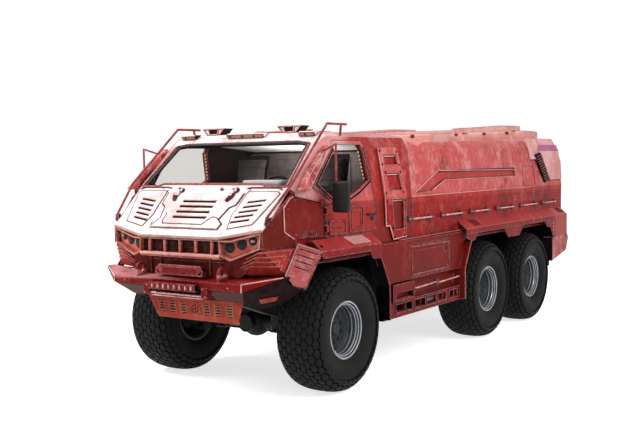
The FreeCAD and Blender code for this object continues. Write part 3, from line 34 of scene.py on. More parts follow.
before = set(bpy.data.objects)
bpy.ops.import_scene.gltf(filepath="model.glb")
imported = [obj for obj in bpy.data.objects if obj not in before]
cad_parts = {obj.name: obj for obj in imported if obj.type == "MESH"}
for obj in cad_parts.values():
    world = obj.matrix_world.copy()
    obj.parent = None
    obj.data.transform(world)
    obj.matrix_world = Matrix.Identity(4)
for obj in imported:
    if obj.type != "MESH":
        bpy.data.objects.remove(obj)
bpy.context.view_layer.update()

MM = 0.001
X, Y, Z = Vector((1, 0, 0)), Vector((0, 1, 0)), Vector((0, 0, 1))


def middle(node):
    low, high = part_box(node)
    return (low + high) / 2


AXLE_Y = middle("tyre_front_left").y
WHOLE = Matrix.Translation((0, AXLE_Y, 0)) @ Matrix.Scale(MM, 4)


def at(x, y, z):
    """A point of the drawing in the frame's metres."""
    return WHOLE @ Vector((x, y, z))


def drawn_on(origin, across, up):
    """The place of a flat drawing in millimetres: across, up and out of the sheet."""
    u = across.normalized()
    n = u.cross(up).normalized()
    turn = Matrix((u, n.cross(u), n)).transposed().to_4x4()
    return Matrix.Translation(at(*origin)) @ turn @ Matrix.Scale(MM, 4)


# ---------------------------------------------------------------- planes of the vehicle
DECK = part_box("passenger_body")[0].z / MM + 40
BELT_X = 1180.0
BELT = DECK + 550
HOOD = drawn_on((0, -1153, 1660), X, Vector((0, 1, 0.941)))
SCREEN = drawn_on((0, -658, 2125.8), X, Vector((0, 1, 0.8676)))
HEADER = drawn_on((0, -125, 2588.2), X, Vector((0, 145, 91.8)))
LOW_SIDE = drawn_on((BELT_X, 0, BELT), Y, Vector((4, 0, 350)))
HIGH_SIDE = drawn_on((BELT_X, 0, BELT), Y, Vector((-50, 0, 544)))
SKIRT = drawn_on((BELT_X + 40, 0, 0), Y, Z)
CHEEK = drawn_on((989, -1064, 0), Vector((0.199, 1, 0)), Z)
CORNER = drawn_on((510, -1153, 0), Vector((479, 89, 0)), Z)
FRONT = drawn_on((0, -1153, 0), X, Z)
REAR = drawn_on((0, 6400, 0), -X, Z)
ARCH_TOP = drawn_on((1301, 0, 1497), Y, Vector((-124.7, 0, 103)))
POD_SIDE = drawn_on((1190, 0, 0), Y, Z)
POD_TOP = drawn_on((1190, 0, 2300), Y, Vector((-90, 0, 371)))


# ---------------------------------------------------------------- bench work
SHARP = math.radians(30)


def rounded(bm, edge, steps=1):
    """Breaks every edge that turns by more than 30 degrees."""
    if edge:
        sharp = [e for e in bm.edges if len(e.link_faces) == 2 and e.calc_face_angle() > SHARP]
        bmesh.ops.bevel(bm, geom=sharp, offset=edge, offset_type="OFFSET", segments=steps, profile=0.5,
                        affect="EDGES", clamp_overlap=True, material=-1)
    return bm


def block(x, y, z, edge=0.0, steps=1):
    """A bar between three ranges."""
    bm = bmesh.new()
    size = [b - a for a, b in (x, y, z)]
    centre = [(a + b) / 2 for a, b in (x, y, z)]
    bmesh.ops.create_cube(bm, size=1, matrix=Matrix.Translation(centre) @ Matrix.Diagonal((*size, 1)))
    return rounded(bm, edge, steps)


def blank(outline, thick, holes=(), edge=0.0, low=0.0, steps=1):
    """Sheet cut to an outline, with holes, standing on its drawing."""
    bm = bmesh.new()
    rims = []
    for loop in (outline, *holes):
        corners = [bm.verts.new((a, b, low)) for a, b in loop]
        rims += [bm.edges.new((corners[i - 1], corners[i])) for i in range(len(corners))]
    if holes:
        bmesh.ops.triangle_fill(bm, edges=rims, use_beauty=True, normal=Z)
        bmesh.ops.dissolve_limit(bm, angle_limit=0.01, verts=bm.verts[:], edges=bm.edges[:])
    else:
        bm.faces.new(bm.verts)
    lifted = bmesh.ops.extrude_face_region(bm, geom=bm.faces[:])["geom"]
    bmesh.ops.translate(bm, vec=(0, 0, thick), verts=[v for v in lifted if isinstance(v, bmesh.types.BMVert)])
    bmesh.ops.recalc_face_normals(bm, faces=bm.faces[:])
    return rounded(bm, edge, steps)


def round_bar(points, radius, sides=10):
    """A round bar along straight runs, mitred at its bends."""
    bm = bmesh.new()
    points = [Vector(p) for p in points]
    ways = [(b - a).normalized() for a, b in zip(points, points[1:])]
    turn = ways[0].to_track_quat("Z", "Y").to_matrix().to_4x4()
    ring = bmesh.ops.create_circle(bm, segments=sides, radius=radius, matrix=Matrix.Translation(points[0])
                                   @ turn)
    ring = ring["verts"]
    for i, point in enumerate(points[1:]):
        way, after = ways[i], ways[min(i + 1, len(ways) - 1)]
        cut = (way + after).normalized()
        edges = list({e for v in ring for e in v.link_edges if all(w in ring for w in e.verts)})
        grown = bmesh.ops.extrude_edge_only(bm, edges=edges)["geom"]
        ring = [v for v in grown if isinstance(v, bmesh.types.BMVert)]
        slide = Matrix([[float(r == c) - way[r] * cut[c] / way.dot(cut) for c in range(3)] for r in range(3)])
        move = Matrix.Translation(way * (point.dot(cut) / way.dot(cut))) @ slide.to_4x4()
        bmesh.ops.transform(bm, matrix=move, verts=ring)
    bmesh.ops.holes_fill(bm, edges=bm.edges[:], sides=0)
    bmesh.ops.recalc_face_normals(bm, faces=bm.faces[:])
    return bm


def turned(profile, steps, closed=False):
    """A profile of (distance along X, radius) turned about X."""
    bm = bmesh.new()
    corners = [bm.verts.new((a, 0, r)) for a, r in profile]
    pairs = list(zip(corners, corners[1:])) + ([(corners[-1], corners[0])] if closed else [])
    edges = [bm.edges.new(p) for p in pairs]
    bmesh.ops.spin(bm, geom=corners + edges, cent=(0, 0, 0), axis=X, dvec=(0, 0, 0), angle=math.tau,
                   steps=steps, use_merge=True)
    bmesh.ops.remove_doubles(bm, verts=bm.verts[:], dist=0.01)
    bmesh.ops.recalc_face_normals(bm, faces=bm.faces[:])
    return bm


def sheet_on(corners, out):
    """A flat drawing through the first three corners, facing out, and all corners on it."""
    a, b, c = (Vector(p) for p in corners[:3])
    up = (b - a).cross(c - a).cross(b - a)
    place = drawn_on(a, b - a, up)
    if (place.to_3x3() @ Z).dot(Vector(out)) < 0:
        place = drawn_on(a, b - a, -up)
    return place, [tuple((place.inverted() @ at(*p)).xy) for p in corners]


def bolt(radius, height):
    """A bolt head standing on the drawing."""
    bm = bmesh.new()
    bmesh.ops.create_cone(bm, cap_ends=True, segments=6, radius1=radius, radius2=radius * 0.8, depth=height,
                          matrix=Matrix.Translation((0, 0, height / 2)))
    return bm


def disc(radius, height, sides=20, edge=0.0, low=0.0):
    """A round boss standing on the drawing."""
    bm = bmesh.new()
    bmesh.ops.create_cone(bm, cap_ends=True, segments=sides, radius1=radius, radius2=radius, depth=height,
                          matrix=Matrix.Translation((0, 0, low + height / 2)))
    return rounded(bm, edge)


def added(bm, shape, place=None):
    """Puts a finished shape into a piece; the shape can be used again."""
    mesh = bpy.data.meshes.new("shape")
    shape.to_mesh(mesh)
    if place is not None:
        mesh.transform(place)
    bm.from_mesh(mesh)
    bpy.data.meshes.remove(mesh)
    return bm


def placed(shape, *places):
    """A piece of the same shape at each place."""
    bm = bmesh.new()
    for place in places:
        added(bm, shape, place)
    shape.free()
    return bm


def spot(place, a, b, lift=0.0, turn=0.0):
    """A place on a drawing, lifted off it and turned about its normal in degrees."""
    return place @ Matrix.Translation((a, b, lift)) @ Matrix.Rotation(math.radians(turn), 4, "Z")


FLIP = Matrix.Scale(-1, 4, X)


def twinned(bm):
    """The piece and its mirror image on the other side."""
    mesh = bpy.data.meshes.new("shape")
    bm.to_mesh(mesh)
    mesh.transform(FLIP)
    mesh.flip_normals()
    bm.from_mesh(mesh)
    bpy.data.meshes.remove(mesh)
    return bm


def rim_of(outline, inset):
    """The outline drawn in by a distance, corner by corner."""
    done = []
    count = len(outline)
    area = sum(outline[i - 1][0] * outline[i][1] - outline[i][0] * outline[i - 1][1] for i in range(count))
    for i in range(count):
        a, b, c = (Vector(outline[j % count]) for j in (i - 1, i, i + 1))
        u, v = (b - a).normalized(), (c - b).normalized()
        side = 1 if area > 0 else -1
        n = (Vector((-u.y, u.x)) + Vector((-v.y, v.x))) * side
        done.append(tuple(b + n * (inset / (1 + u.dot(v)))))
    return done


def border(outline, width, thick, low=0.0, edge=0.0):
    """A flat frame inside an outline."""
    return blank(outline, thick, [rim_of(outline, width)], edge, low)


def bead(points, radius, lift, closed=False):
    """A pressed bead along an outline on a drawing."""
    line = [(a, b, lift) for a, b in points]
    if closed:
        start = tuple((Vector(line[-1]) + Vector(line[0])) / 2)
        line = [start, *line, start]
    return round_bar(line, radius, 6)


def circle(radius, sides=18, x=0.0, y=0.0):
    """A round outline."""
    return [(x + radius * math.cos(math.tau * i / sides), y + radius * math.sin(math.tau * i / sides))
            for i in range(sides)]


def joined(*pairs):
    """One piece from (shape, place) pairs."""
    bm = bmesh.new()
    for shape, place in pairs:
        added(bm, shape, place)
        shape.free()
    return bm


def on(place, *shapes):
    """One piece from shapes drawn on the same sheet."""
    return joined(*[(shape, place) for shape in shapes])


def both(shape, place):
    """A shape on its sheet, with its mirror image."""
    return twinned(on(place, shape))


def bolts(place, spots, radius=10.0, height=7.0, lift=0.0):
    """Bolt heads at several spots of a drawing."""
    return placed(bolt(radius, height), *[spot(place, a, b, lift) for a, b in spots])


def finished(name, bm, finish, body="truck", smooth=32):
    """Turns a piece into an object that rides on its body."""
    mesh = bpy.data.meshes.new(name)
    bm.to_mesh(mesh)
    bm.free()
    mesh.polygons.foreach_set("use_smooth", [True] * len(mesh.polygons))
    mesh.set_sharp_from_angle(angle=math.radians(smooth))
    mesh.materials.append(finish)
    piece = bpy.data.objects.new(name, mesh)
    bpy.context.scene.collection.objects.link(piece)
    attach(piece, body)
    return piece


def finished_pair(name, bm, finish, body):
    """The left piece and its mirrored twin, each on its own body."""
    mesh = bpy.data.meshes.new("shape")
    bm.to_mesh(mesh)
    mesh.transform(FLIP)
    mesh.flip_normals()
    other = bmesh.new()
    other.from_mesh(mesh)
    bpy.data.meshes.remove(mesh)
    finished(name + "_left", bm, finish, body + "_left")
    finished(name + "_right", other, finish, body + "_right")


# ---------------------------------------------------------------- finishes
def linear(code):
    """An sRGB hex value as linear colour."""
    parts = [int(code[i:i + 2], 16) / 255 for i in (1, 3, 5)]
    return tuple(c / 12.92 if c <= 0.04045 else ((c + 0.055) / 1.055) ** 2.4 for c in parts) + (1.0,)


def node(tree, kind, inputs=(), **settings):
    """Adds a node with its settings; an input is a value or another node's output."""
    made = tree.nodes.new(kind)
    for key, value in settings.items():
        setattr(made, key, value)
    for socket, value in dict(inputs).items():
        if isinstance(value, bpy.types.NodeSocket):
            tree.links.new(value, made.inputs[socket])
        else:
            made.inputs[socket].default_value = value
    return made


def new_finish(name):
    made = bpy.data.materials.new(name)
    made.use_nodes = True
    made.node_tree.nodes.clear()
    return made, made.node_tree, node(made.node_tree, "ShaderNodeTexCoord").outputs["Object"]


def shaded(tree, shader):
    node(tree, "ShaderNodeOutputMaterial", {"Surface": shader})


def ramp(tree, value, low, high, start=0.0, end=1.0):
    """A value's range from low to high stretched from start to end."""
    return node(tree, "ShaderNodeMapRange", {0: value, 1: low, 2: high, 3: start, 4: end},
                interpolation_type="SMOOTHSTEP").outputs[0]


def blotches(tree, where, size, low, high, detail=6.0, rough=0.6, stretch=(1, 1, 1), amount=1.0):
    """Irregular patches about one size across, in millimetres."""
    if stretch != (1, 1, 1):
        where = node(tree, "ShaderNodeMapping", {0: where, "Scale": stretch}).outputs[0]
    field = node(tree, "ShaderNodeTexNoise", {"Vector": where, "Scale": 1000 / size, "Detail": detail,
                                              "Roughness": rough}).outputs[0]
    return ramp(tree, field, low, high, 0.0, amount)


def mixed(tree, share, one, two):
    return node(tree, "ShaderNodeMix", {0: share, 6: one, 7: two}, data_type="RGBA").outputs[2]


def times(tree, one, two):
    return node(tree, "ShaderNodeMath", {0: one, 1: two}, operation="MULTIPLY").outputs[0]


def worn_edges(tree, radius, low, high):
    """How much a surface turns within a few millimetres: 1 on an edge."""
    rounder = node(tree, "ShaderNodeBevel", {"Radius": radius * MM}, samples=4).outputs[0]
    flat = node(tree, "ShaderNodeNewGeometry").outputs["Normal"]
    turn = node(tree, "ShaderNodeVectorMath", {0: rounder, 1: flat}, operation="DOT_PRODUCT").outputs["Value"]
    return ramp(tree, turn, high, low, 0.0, 1.0), rounder


def enamel(name, coat, pale, dark, zones=(), wear=0.8, mottle=0.4, grime_and_shade=0.85, inside=None, calm=None):
    """Alkyd enamel, brushed and sun-faded: streaks, chalky patches, bare pale edges, grime and painted shade
    in the corners.

    Each zone is (direction, distance in metres, softness, colour, amount): the coat past that plane.
    A sheet with an inside, (direction, colour), has that colour on the faces that turn inwards or down,
    and in the vehicle's front half on those that turn along the direction. Below the calm height the
    pale patches are fewer.
    """
    made, tree, where = new_finish(name)
    colour = linear(coat)
    colour = mixed(tree, blotches(tree, where, 420, 0.42, 0.62, amount=mottle), colour, linear(dark))
    for way, distance, soft, code, amount in zones:
        along = node(tree, "ShaderNodeVectorMath", {0: where, 1: way},
                     operation="DOT_PRODUCT").outputs["Value"]
        colour = mixed(tree, ramp(tree, along, distance - soft, distance + soft, 0.0, amount), colour,
                       linear(code))
    streak = blotches(tree, where, 190, 0.5, 0.72, 9, 0.7, (1, 1, 0.7), mottle)
    chalk = blotches(tree, where, 70, 0.53, 0.68, 10, 0.74, amount=mottle)
    if calm:
        height = node(tree, "ShaderNodeSeparateXYZ", {0: where}).outputs[2]
        share = ramp(tree, height, calm - 0.01, calm + 0.05, 0.3, 1.0)
        cloud = ramp(tree, height, calm - 0.2, calm + 0.6, 0.0, 1.0)
        cloud = times(tree, cloud, blotches(tree, where, 300, 0.5, 0.64, 7, 0.65, (1, 1, 0.55), mottle))
        streak, chalk = times(tree, share, streak), times(tree, share, chalk)
        colour = mixed(tree, cloud, colour, linear(pale))
    colour = mixed(tree, streak, colour, linear(pale))
    colour = mixed(tree, chalk, colour, linear(pale))
    stain = blotches(tree, where, 210, 0.52, 0.7, 9, 0.74, (1, 1, 0.8), min(1.0, mottle * 1.25))
    colour = mixed(tree, stain, colour, linear(dark))
    edge, rounder = worn_edges(tree, 14, 0.82, 0.985)
    chipped = times(tree, edge, blotches(tree, where, 40, 0.36, 0.62, 6, 0.7, amount=wear))
    colour = mixed(tree, chipped, colour, linear("#ecb5b1"))
    # Painted shade: red-brown where ambient occlusion finds corners and crevices, mixed with grime.
    shut = node(tree, "ShaderNodeAmbientOcclusion", {"Distance": 0.04}, samples=6).outputs["AO"]
    colour = mixed(tree, ramp(tree, shut, 0.35, 0.85, grime_and_shade, 0.0), colour, linear("#3a1210"))
    # Painted shade: faces that turn inwards or down take the dark inside colour.
    if inside:
        face = node(tree, "ShaderNodeNewGeometry").outputs["Normal"]
        turn = node(tree, "ShaderNodeVectorMath", {0: face, 1: where}, operation="MULTIPLY").outputs[0]
        inward = ramp(tree, node(tree, "ShaderNodeSeparateXYZ", {0: turn}).outputs[0], -0.35, -0.05, 1.0, 0.0)
        along = node(tree, "ShaderNodeVectorMath", {0: face, 1: inside[0]},
                     operation="DOT_PRODUCT").outputs["Value"]
        along = ramp(tree, node(tree, "ShaderNodeMath", {0: along}, operation="ABSOLUTE").outputs[0], 0.55,
                     0.75)
        nose_half = ramp(tree, node(tree, "ShaderNodeSeparateXYZ", {0: where}).outputs[1], -0.9, -0.6, 1.0,
                         0.0)
        along = times(tree, along, nose_half)
        down = ramp(tree, node(tree, "ShaderNodeSeparateXYZ", {0: face}).outputs[2], -0.6, -0.3, 1.0, 0.0)
        shade = node(tree, "ShaderNodeMath", {0: inward, 1: along}, operation="MAXIMUM").outputs[0]
        shade = node(tree, "ShaderNodeMath", {0: shade, 1: down}, operation="MAXIMUM").outputs[0]
        colour = mixed(tree, shade, colour, linear(inside[1]))
    grain = node(tree, "ShaderNodeTexNoise", {"Vector": where, "Scale": 60.0, "Detail": 6.0}).outputs[0]
    relief = node(tree, "ShaderNodeBump", {"Strength": 0.25, "Distance": 0.004, "Height": grain,
                                           "Normal": rounder}).outputs[0]
    gloss = ramp(tree, chalk, 0.0, 1.0, 0.42, 0.65)
    shaded(tree, node(tree, "ShaderNodeBsdfPrincipled", {
        "Base Color": colour, "Roughness": gloss, "Normal": relief, "Specular IOR Level": 0.06}).outputs[0])
    return made


def plain(name, code, other, size, rough, metal=0.0, bump=0.3, depth=0.6, edge_code=None, spec=0.5,
          groove_shade=None):
    """A worked surface of two close tones with a fine relief, and painted shade in its grooves."""
    made, tree, where = new_finish(name)
    tone = blotches(tree, where, size, 0.35, 0.65)
    colour = mixed(tree, tone, linear(code), linear(other))
    if groove_shade:
        # Painted shade: the groove colour where ambient occlusion finds grooves.
        shut = node(tree, "ShaderNodeAmbientOcclusion", {"Distance": 0.03}, samples=6).outputs["AO"]
        colour = mixed(tree, ramp(tree, shut, 0.5, 0.95, 1.0, 0.0), colour, linear(groove_shade))
    settings = {"Base Color": colour, "Roughness": ramp(tree, tone, 0.0, 1.0, rough - 0.06, rough + 0.08),
                "Metallic": metal, "Specular IOR Level": spec}
    grain = node(tree, "ShaderNodeTexNoise", {"Vector": where, "Scale": 9000 / size,
                                              "Detail": 4.0}).outputs[0]
    tune = {"Strength": bump, "Distance": depth * MM, "Height": grain}
    if edge_code:
        edge, rounder = worn_edges(tree, 6, 0.85, 0.985)
        settings["Base Color"] = mixed(tree, edge, colour, linear(edge_code))
        tune["Normal"] = rounder
    settings["Normal"] = node(tree, "ShaderNodeBump", tune).outputs[0]
    shaded(tree, node(tree, "ShaderNodeBsdfPrincipled", settings).outputs[0])
    return made


def plane_of(place):
    """A drawing's normal and its distance from the origin, for a zone."""
    n = (place.to_3x3() @ Z).normalized()
    return tuple(n), n.dot(place.translation)


hood_way, hood_far = plane_of(HOOD)
screen_way, screen_far = plane_of(SCREEN)
header_way, header_far = plane_of(HEADER)
# Painted sheen: lighter red above the belt, standing for the sky reflected in the upper sides.
ABOVE_BELT_SHEEN = ((0, 0, 1), BELT * MM, 0.006, "#c05350", 0.85)
# Darker towards the bottom.
LOW_DARKENING = ((0, 0, -1), -1.0, 0.5, "#64221e", 0.55)
LIP_SHADE = ((0, 0, -1), -1.488, 0.004, "#741a18", 0.9)
# Paler towards the tail.
TAIL_PALER = ((0, 1, 0), 3.16, 0.08, "#c9605b", 0.5)
# A brighter band just under the belt: wear, and a painted highlight along the belt fold.
BELT_WEAR_AND_HIGHLIGHT = ((0, 0, 1), (BELT - 55) * MM, 0.03, "#b5332f", 0.6)
# Pale on faces ahead of the screen and header planes: sun-bleaching and painted glare.
SCREEN_EDGE = (screen_way, screen_far - 0.012, 0.01, "#f3d3d1", 0.85)
HEADER_EDGE = (header_way, header_far - 0.012, 0.01, "#fff2f1", 0.9)
# Paler towards the front top: sun fade and painted glare.
PILLAR_FADE_AND_GLARE = ((0, -0.9, 1), 4.72, 0.14, "#e3abaa", 0.7)
# Painted shade for the inward and downward faces of the cab and of the wheel arches.
CAB_INSIDE_SHADE, ARCH_INSIDE_SHADE = ((0, 0, 0), "#332726"), ((0, 0, 0), "#0d0909")

# Body coat over armour plate: deep red, chalky pink above the belt with a painted sheen there, rust-brown in
# the low streaks.
BODY_ENAMEL = enamel("body_enamel", "#95130f", "#e09c98", "#5c110e",
                     [BELT_WEAR_AND_HIGHLIGHT, ABOVE_BELT_SHEEN, ((0, 0, 1), 2.6, 0.1, "#d8847f", 0.45)], mottle=0.66,
                     inside=CAB_INSIDE_SHADE, calm=BELT * MM)
# The cab's coat: the same red in painted shade, with sun-bleaching and painted glare along the screen, the
# header and the pillars.
# Its first zone is a painted sheen: lighter red above the belt.
CAB_ENAMEL = enamel("cab_enamel", "#7e1a16", "#cb7471", "#641a17",
                    [((0, 0, 1), BELT * MM, 0.006, "#9c2220", 0.85), PILLAR_FADE_AND_GLARE, SCREEN_EDGE, HEADER_EDGE],
                    mottle=0.5, inside=CAB_INSIDE_SHADE, calm=BELT * MM)
# Door coat: a little paler than the cab.
# Above the belt it takes the painted sheen, towards the front top the sun fade with painted glare.
DOOR_ENAMEL = enamel("door_enamel", "#9c2e2b", "#d98b88", "#74201d", [ABOVE_BELT_SHEEN, PILLAR_FADE_AND_GLARE], mottle=0.5,
                     inside=CAB_INSIDE_SHADE, calm=BELT * MM)
# Nose coat: dark red sides under a nearly white top face, sun-bleached and with a painted glare.
HOOD_ENAMEL = enamel("hood_enamel", "#661d17", "#a9463f", "#551814",
                     [(hood_way, hood_far - 0.016, 0.008, "#fdf3f3", 0.97)], mottle=0.35, grime_and_shade=0.9)
# Grille frame: orange-red primer showing through thin, chipped paint.
GRILLE_ENAMEL = enamel("grille_enamel", "#cb6452", "#f6c8ba", "#9a3c2c", wear=1.0, mottle=0.75)
# Bumper coat: dark red faces, with a dull pink top face as a painted reflection of the sky.
BUMPER_ENAMEL = enamel("bumper_enamel", "#7c1512", "#a84642", "#4e100e",
                       [((-0.05, 0, 1), 1.245, 0.02, "#e0959a", 0.75),
                        ((0, 0, 1), 1.297, 0.004, "#7c1512", 1.0)], wear=0.5)
# Skid plate: brick-orange primer, scraped.
SKID_ENAMEL = enamel("skid_enamel", "#ad402e", "#cc735c", "#82281a", wear=0.7)
# Fender coat: bright red, with painted shade under the lip and inside the arch, and paler towards the tail.
FENDER_ENAMEL = enamel("fender_enamel", "#a82b2d", "#cc5a5a", "#7d2122", [LIP_SHADE, TAIL_PALER],
                       mottle=0.45, inside=ARCH_INSIDE_SHADE)
# Skirt coat: maroon, darker towards the bottom, with painted shade on faces that turn inwards or down.
SKIRT_ENAMEL = enamel("skirt_enamel", "#72120f", "#9c3530", "#571611", [LOW_DARKENING], mottle=0.4,
                      inside=((0, 1, 0), "#0d0909"))
# Roof gear: coat bleached to pale pink by the sun.
RACK_ENAMEL = enamel("rack_enamel", "#e6aea5", "#f5d5ce", "#c87468", mottle=0.45)
# Rear corner pods: sun-bleached pink on their upper faces.
POD_ENAMEL = enamel("pod_enamel", "#e6a9a7", "#f7dada", "#c2615f", mottle=0.5)
# Black chassis lacquer over sandblasted steel: satin, dusty, a little brown on the edges.
CHASSIS_BLACK = plain("chassis_lacquer", "#100e0e", "#1d1817", 120, 0.6, edge_code="#2e2624", spec=0.2)
# Tread rubber: sooty black, slightly grey with dust, no shine, with painted shade in the grooves.
TYRE_RUBBER = plain("tyre_rubber", "#101010", "#171716", 90, 0.7, bump=0.3, depth=1.0, edge_code="#2e2c2b",
                    spec=0.15, groove_shade="#030303")
# Zinc-silver wheel paint on rolled steel.
RIM_SILVER = plain("rim_silver", "#b4b8bd", "#93989d", 160, 0.36, metal=0.5, bump=0.02, depth=0.1, spec=0.4)
# The same paint in the barrel, darkened to grey as painted shade.
RIM_GREY = plain("rim_grey", "#3d4144", "#4f5356", 160, 0.42, metal=0.3, bump=0.02, depth=0.1, spec=0.3)
# The wheel's sunk centre: the same paint, dark as painted shade.
RIM_SHADED_CENTRE = plain("rim_shaded_centre", "#26272a", "#36383b", 120, 0.6, bump=0.05, depth=0.2, spec=0.2)
# Leaf springs: scaled spring steel.
SPRING_STEEL = plain("spring_steel", "#3a3634", "#574d48", 50, 0.55, metal=0.6, edge_code="#6e6660")
# Sand-cast iron: coarse, dark, oily.
CAST_IRON = plain("cast_iron", "#232021", "#383331", 30, 0.62, metal=0.3, bump=0.6, depth=1.5)
# Injection-moulded black polymer with a fine grain.
BLACK_PLASTIC = plain("black_plastic", "#0f0e0e", "#171515", 20, 0.5, bump=0.2, depth=0.2, spec=0.25)
# EPDM window seal: matt black.
SEAL_RUBBER = plain("seal_rubber", "#141314", "#1f1e1f", 30, 0.7)
# Bare worn steel bar: bright pink-white from rubbed paint.
RUBBED_STEEL = plain("rubbed_steel", "#dcb4b2", "#b96f6c", 45, 0.38, metal=0.2)
# Moulded grey fascia, matt.
GREY_TRIM = plain("grey_trim", "#8a8288", "#9b9398", 30, 0.55)
# Charcoal seat cloth on the CAD cushions, matt.
DARK_CLOTH = plain("dark_cloth", "#2b2726", "#3a3431", 12, 0.85)


def glass(name, tint, density):
    """Laminated pane: a clear layer that darkens what is behind it, with a sharp reflection."""
    made, tree, where = new_finish(name)
    dust = blotches(tree, where, 180, 0.45, 0.8, 8, 0.7, amount=0.02)
    through = node(tree, "ShaderNodeBsdfTransparent", {"Color": linear(tint)}).outputs[0]
    film = node(tree, "ShaderNodeBsdfPrincipled", {"Base Color": linear("#3a3634"), "Roughness": 0.02,
                                                   "Specular IOR Level": 0.3}).outputs[0]
    share = node(tree, "ShaderNodeMath", {0: dust, 1: density}, operation="ADD").outputs[0]
    shaded(tree, node(tree, "ShaderNodeMixShader", {0: share, 1: through, 2: film}).outputs[0])
    return made


# Laminated flat glass: clear, with a trace of dust.
SCREEN_GLASS = glass("laminated_glass", "#f7f6f5", 0.02)
# Dark polycarbonate lamp lens.
LAMP_LENS = plain("lamp_lens", "#050506", "#0a0a0c", 40, 0.2, bump=0.05, spec=0.2)


def painted(finish, *names):
    for name in names:
        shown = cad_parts[name]
        shown.data.materials.clear()
        shown.data.materials.append(finish)


SIDES = ("left", "right")
ROWS = ("front", "middle", "rear")
painted(BODY_ENAMEL, "passenger_body", "rear_door", "ladder_plates")
painted(CAB_ENAMEL, "cab_shell", "roof_lamps")
painted(DOOR_ENAMEL, "door_left", "door_right")
painted(HOOD_ENAMEL, "nose_shell")
painted(GRILLE_ENAMEL, "grille_frame")
painted(BUMPER_ENAMEL, "bumper")
painted(SKID_ENAMEL, "skid_plate")
painted(FENDER_ENAMEL, "fenders")
painted(SKIRT_ENAMEL, "side_skirts", "locker_door_left", "locker_door_right")
painted(RACK_ENAMEL, "roof_rack")
painted(POD_ENAMEL, "rear_pods")
painted(CHASSIS_BLACK, "cab_floor", "chassis_frame", "front_axle", "rear_axles", "fuel_tanks", "tie_rod",
        "driveline")
painted(SPRING_STEEL, "leaf_springs")
painted(CAST_IRON, "engine_block", "tow_hitch", "knuckle_left", "knuckle_right")
painted(SCREEN_GLASS, "windshield", "door_glass_left", "door_glass_right")
painted(LAMP_LENS, "front_lamps")
painted(GREY_TRIM, "dashboard")
painted(BLACK_PLASTIC, "steering_wheel", "mirrors", "seat_frames")
painted(DARK_CLOTH, "seat_cushions")


# ---------------------------------------------------------------- wheels
BLOCKS_ROUND = 38            # tread blocks in one ring
# Each row of blocks: its distance from the tyre's middle, the radius of its face, its tilt in degrees.
TREAD_ROWS = [(0, 643, 0), (60, 642, 1), (119, 637, 6), (174, 625, 17), (221, 598, 42), (250, 554, 68)]
TREAD_TILE = [(10, -49), (31, -20), (31, 20), (10, 49), (-10, 49), (-31, 20), (-31, -20), (-10, -49)]


def tyre_casing():
    """Rounded low-pressure casing with a bead ring, a shoulder rib and tread blocks in staggered rings."""
    half = [(186, 268.5), (198, 276), (205, 296), (214, 308), (216, 318), (222, 322), (238, 350), (252, 388),
            (259, 432), (261, 470), (258, 505), (249, 536), (240, 556), (222, 580), (205, 594), (180, 607),
            (155, 616), (110, 625), (60, 629)]
    bm = turned(half + [(0, 629.5)] + [(-x, r) for x, r in reversed(half)], 96)
    for row in range(-5, 6):
        x, sink, tilt = TREAD_ROWS[abs(row)]
        x, tilt = math.copysign(x, row), math.copysign(math.radians(tilt), row)
        tile = blank(rim_of(TREAD_TILE, 1 + 2 * (abs(row) > 3)), 22, edge=5, steps=2)
        bmesh.ops.transform(tile, verts=tile.verts[:],
                            matrix=(Matrix.Rotation(math.pi / BLOCKS_ROUND * (row % 2), 4, "X")
                                    @ Matrix.Translation((x, 0, sink - 22))
                                    @ Matrix.Rotation(tilt, 4, "Y")))
        step = math.tau / BLOCKS_ROUND
        bmesh.ops.spin(tile, geom=tile.verts[:] + tile.edges[:] + tile.faces[:], cent=(0, 0, 0), axis=X,
                       dvec=(0, 0, 0), angle=math.tau - step, steps=BLOCKS_ROUND - 1, use_duplicate=True)
        added(bm, tile)
        tile.free()
    return bm


def wheel_disc():
    """Deep rolled rim: the lip and the stepped barrel."""
    face = [(200, 297), (207, 296), (209, 291), (206, 284), (198, 279), (186, 275), (183, 266), (160, 258),
            (118, 254), (112, 240), (84, 238), (80, 226), (66, 222)]
    back = [(62, 257), (-190, 257), (-198, 270), (-207, 284), (-207, 297), (-195, 297), (-191, 268),
            (191, 268), (194, 297)]
    return turned(face + back, 72, closed=True)


def wheel_rings():
    """Bright rolled edges of the lip and of the barrel's two steps."""
    rings = [[(200, 299), (209, 299), (212, 292), (208, 283), (199, 281), (203, 291)],
             [(182, 277), (190, 277), (192, 270), (188, 263), (180, 264)],
             [(156, 262), (166, 262), (167, 256), (160, 252), (152, 254)],
             [(108, 256), (119, 256), (121, 250), (114, 246), (106, 247)]]
    return joined(*[(turned(profile, 72, closed=True), None) for profile in rings])


def wheel_centre():
    """The sunk centre disc with its hub cap, ten nuts and the valve's bracket."""
    face = [(68, 224), (58, 212), (50, 180), (46, 130), (54, 106), (62, 98), (64, 70), (84, 62), (92, 52),
            (95, 0)]
    bm = turned(face + [(20, 0), (20, 54), (-95, 54), (-95, 160), (30, 160), (40, 190), (50, 222)], 60,
                closed=True)
    nut = bolt(15, 22)
    for i in range(10):
        spread = Matrix.Rotation(math.tau * i / 10, 4, "X") @ Matrix.Translation((46, 0, 140))
        added(bm, nut, spread @ Matrix.Rotation(math.pi / 2, 4, "Y"))
    nut.free()
    valve = block((56, 80), (-16, 16), (-214, -196), 4)
    added(bm, valve)
    valve.free()
    return bm


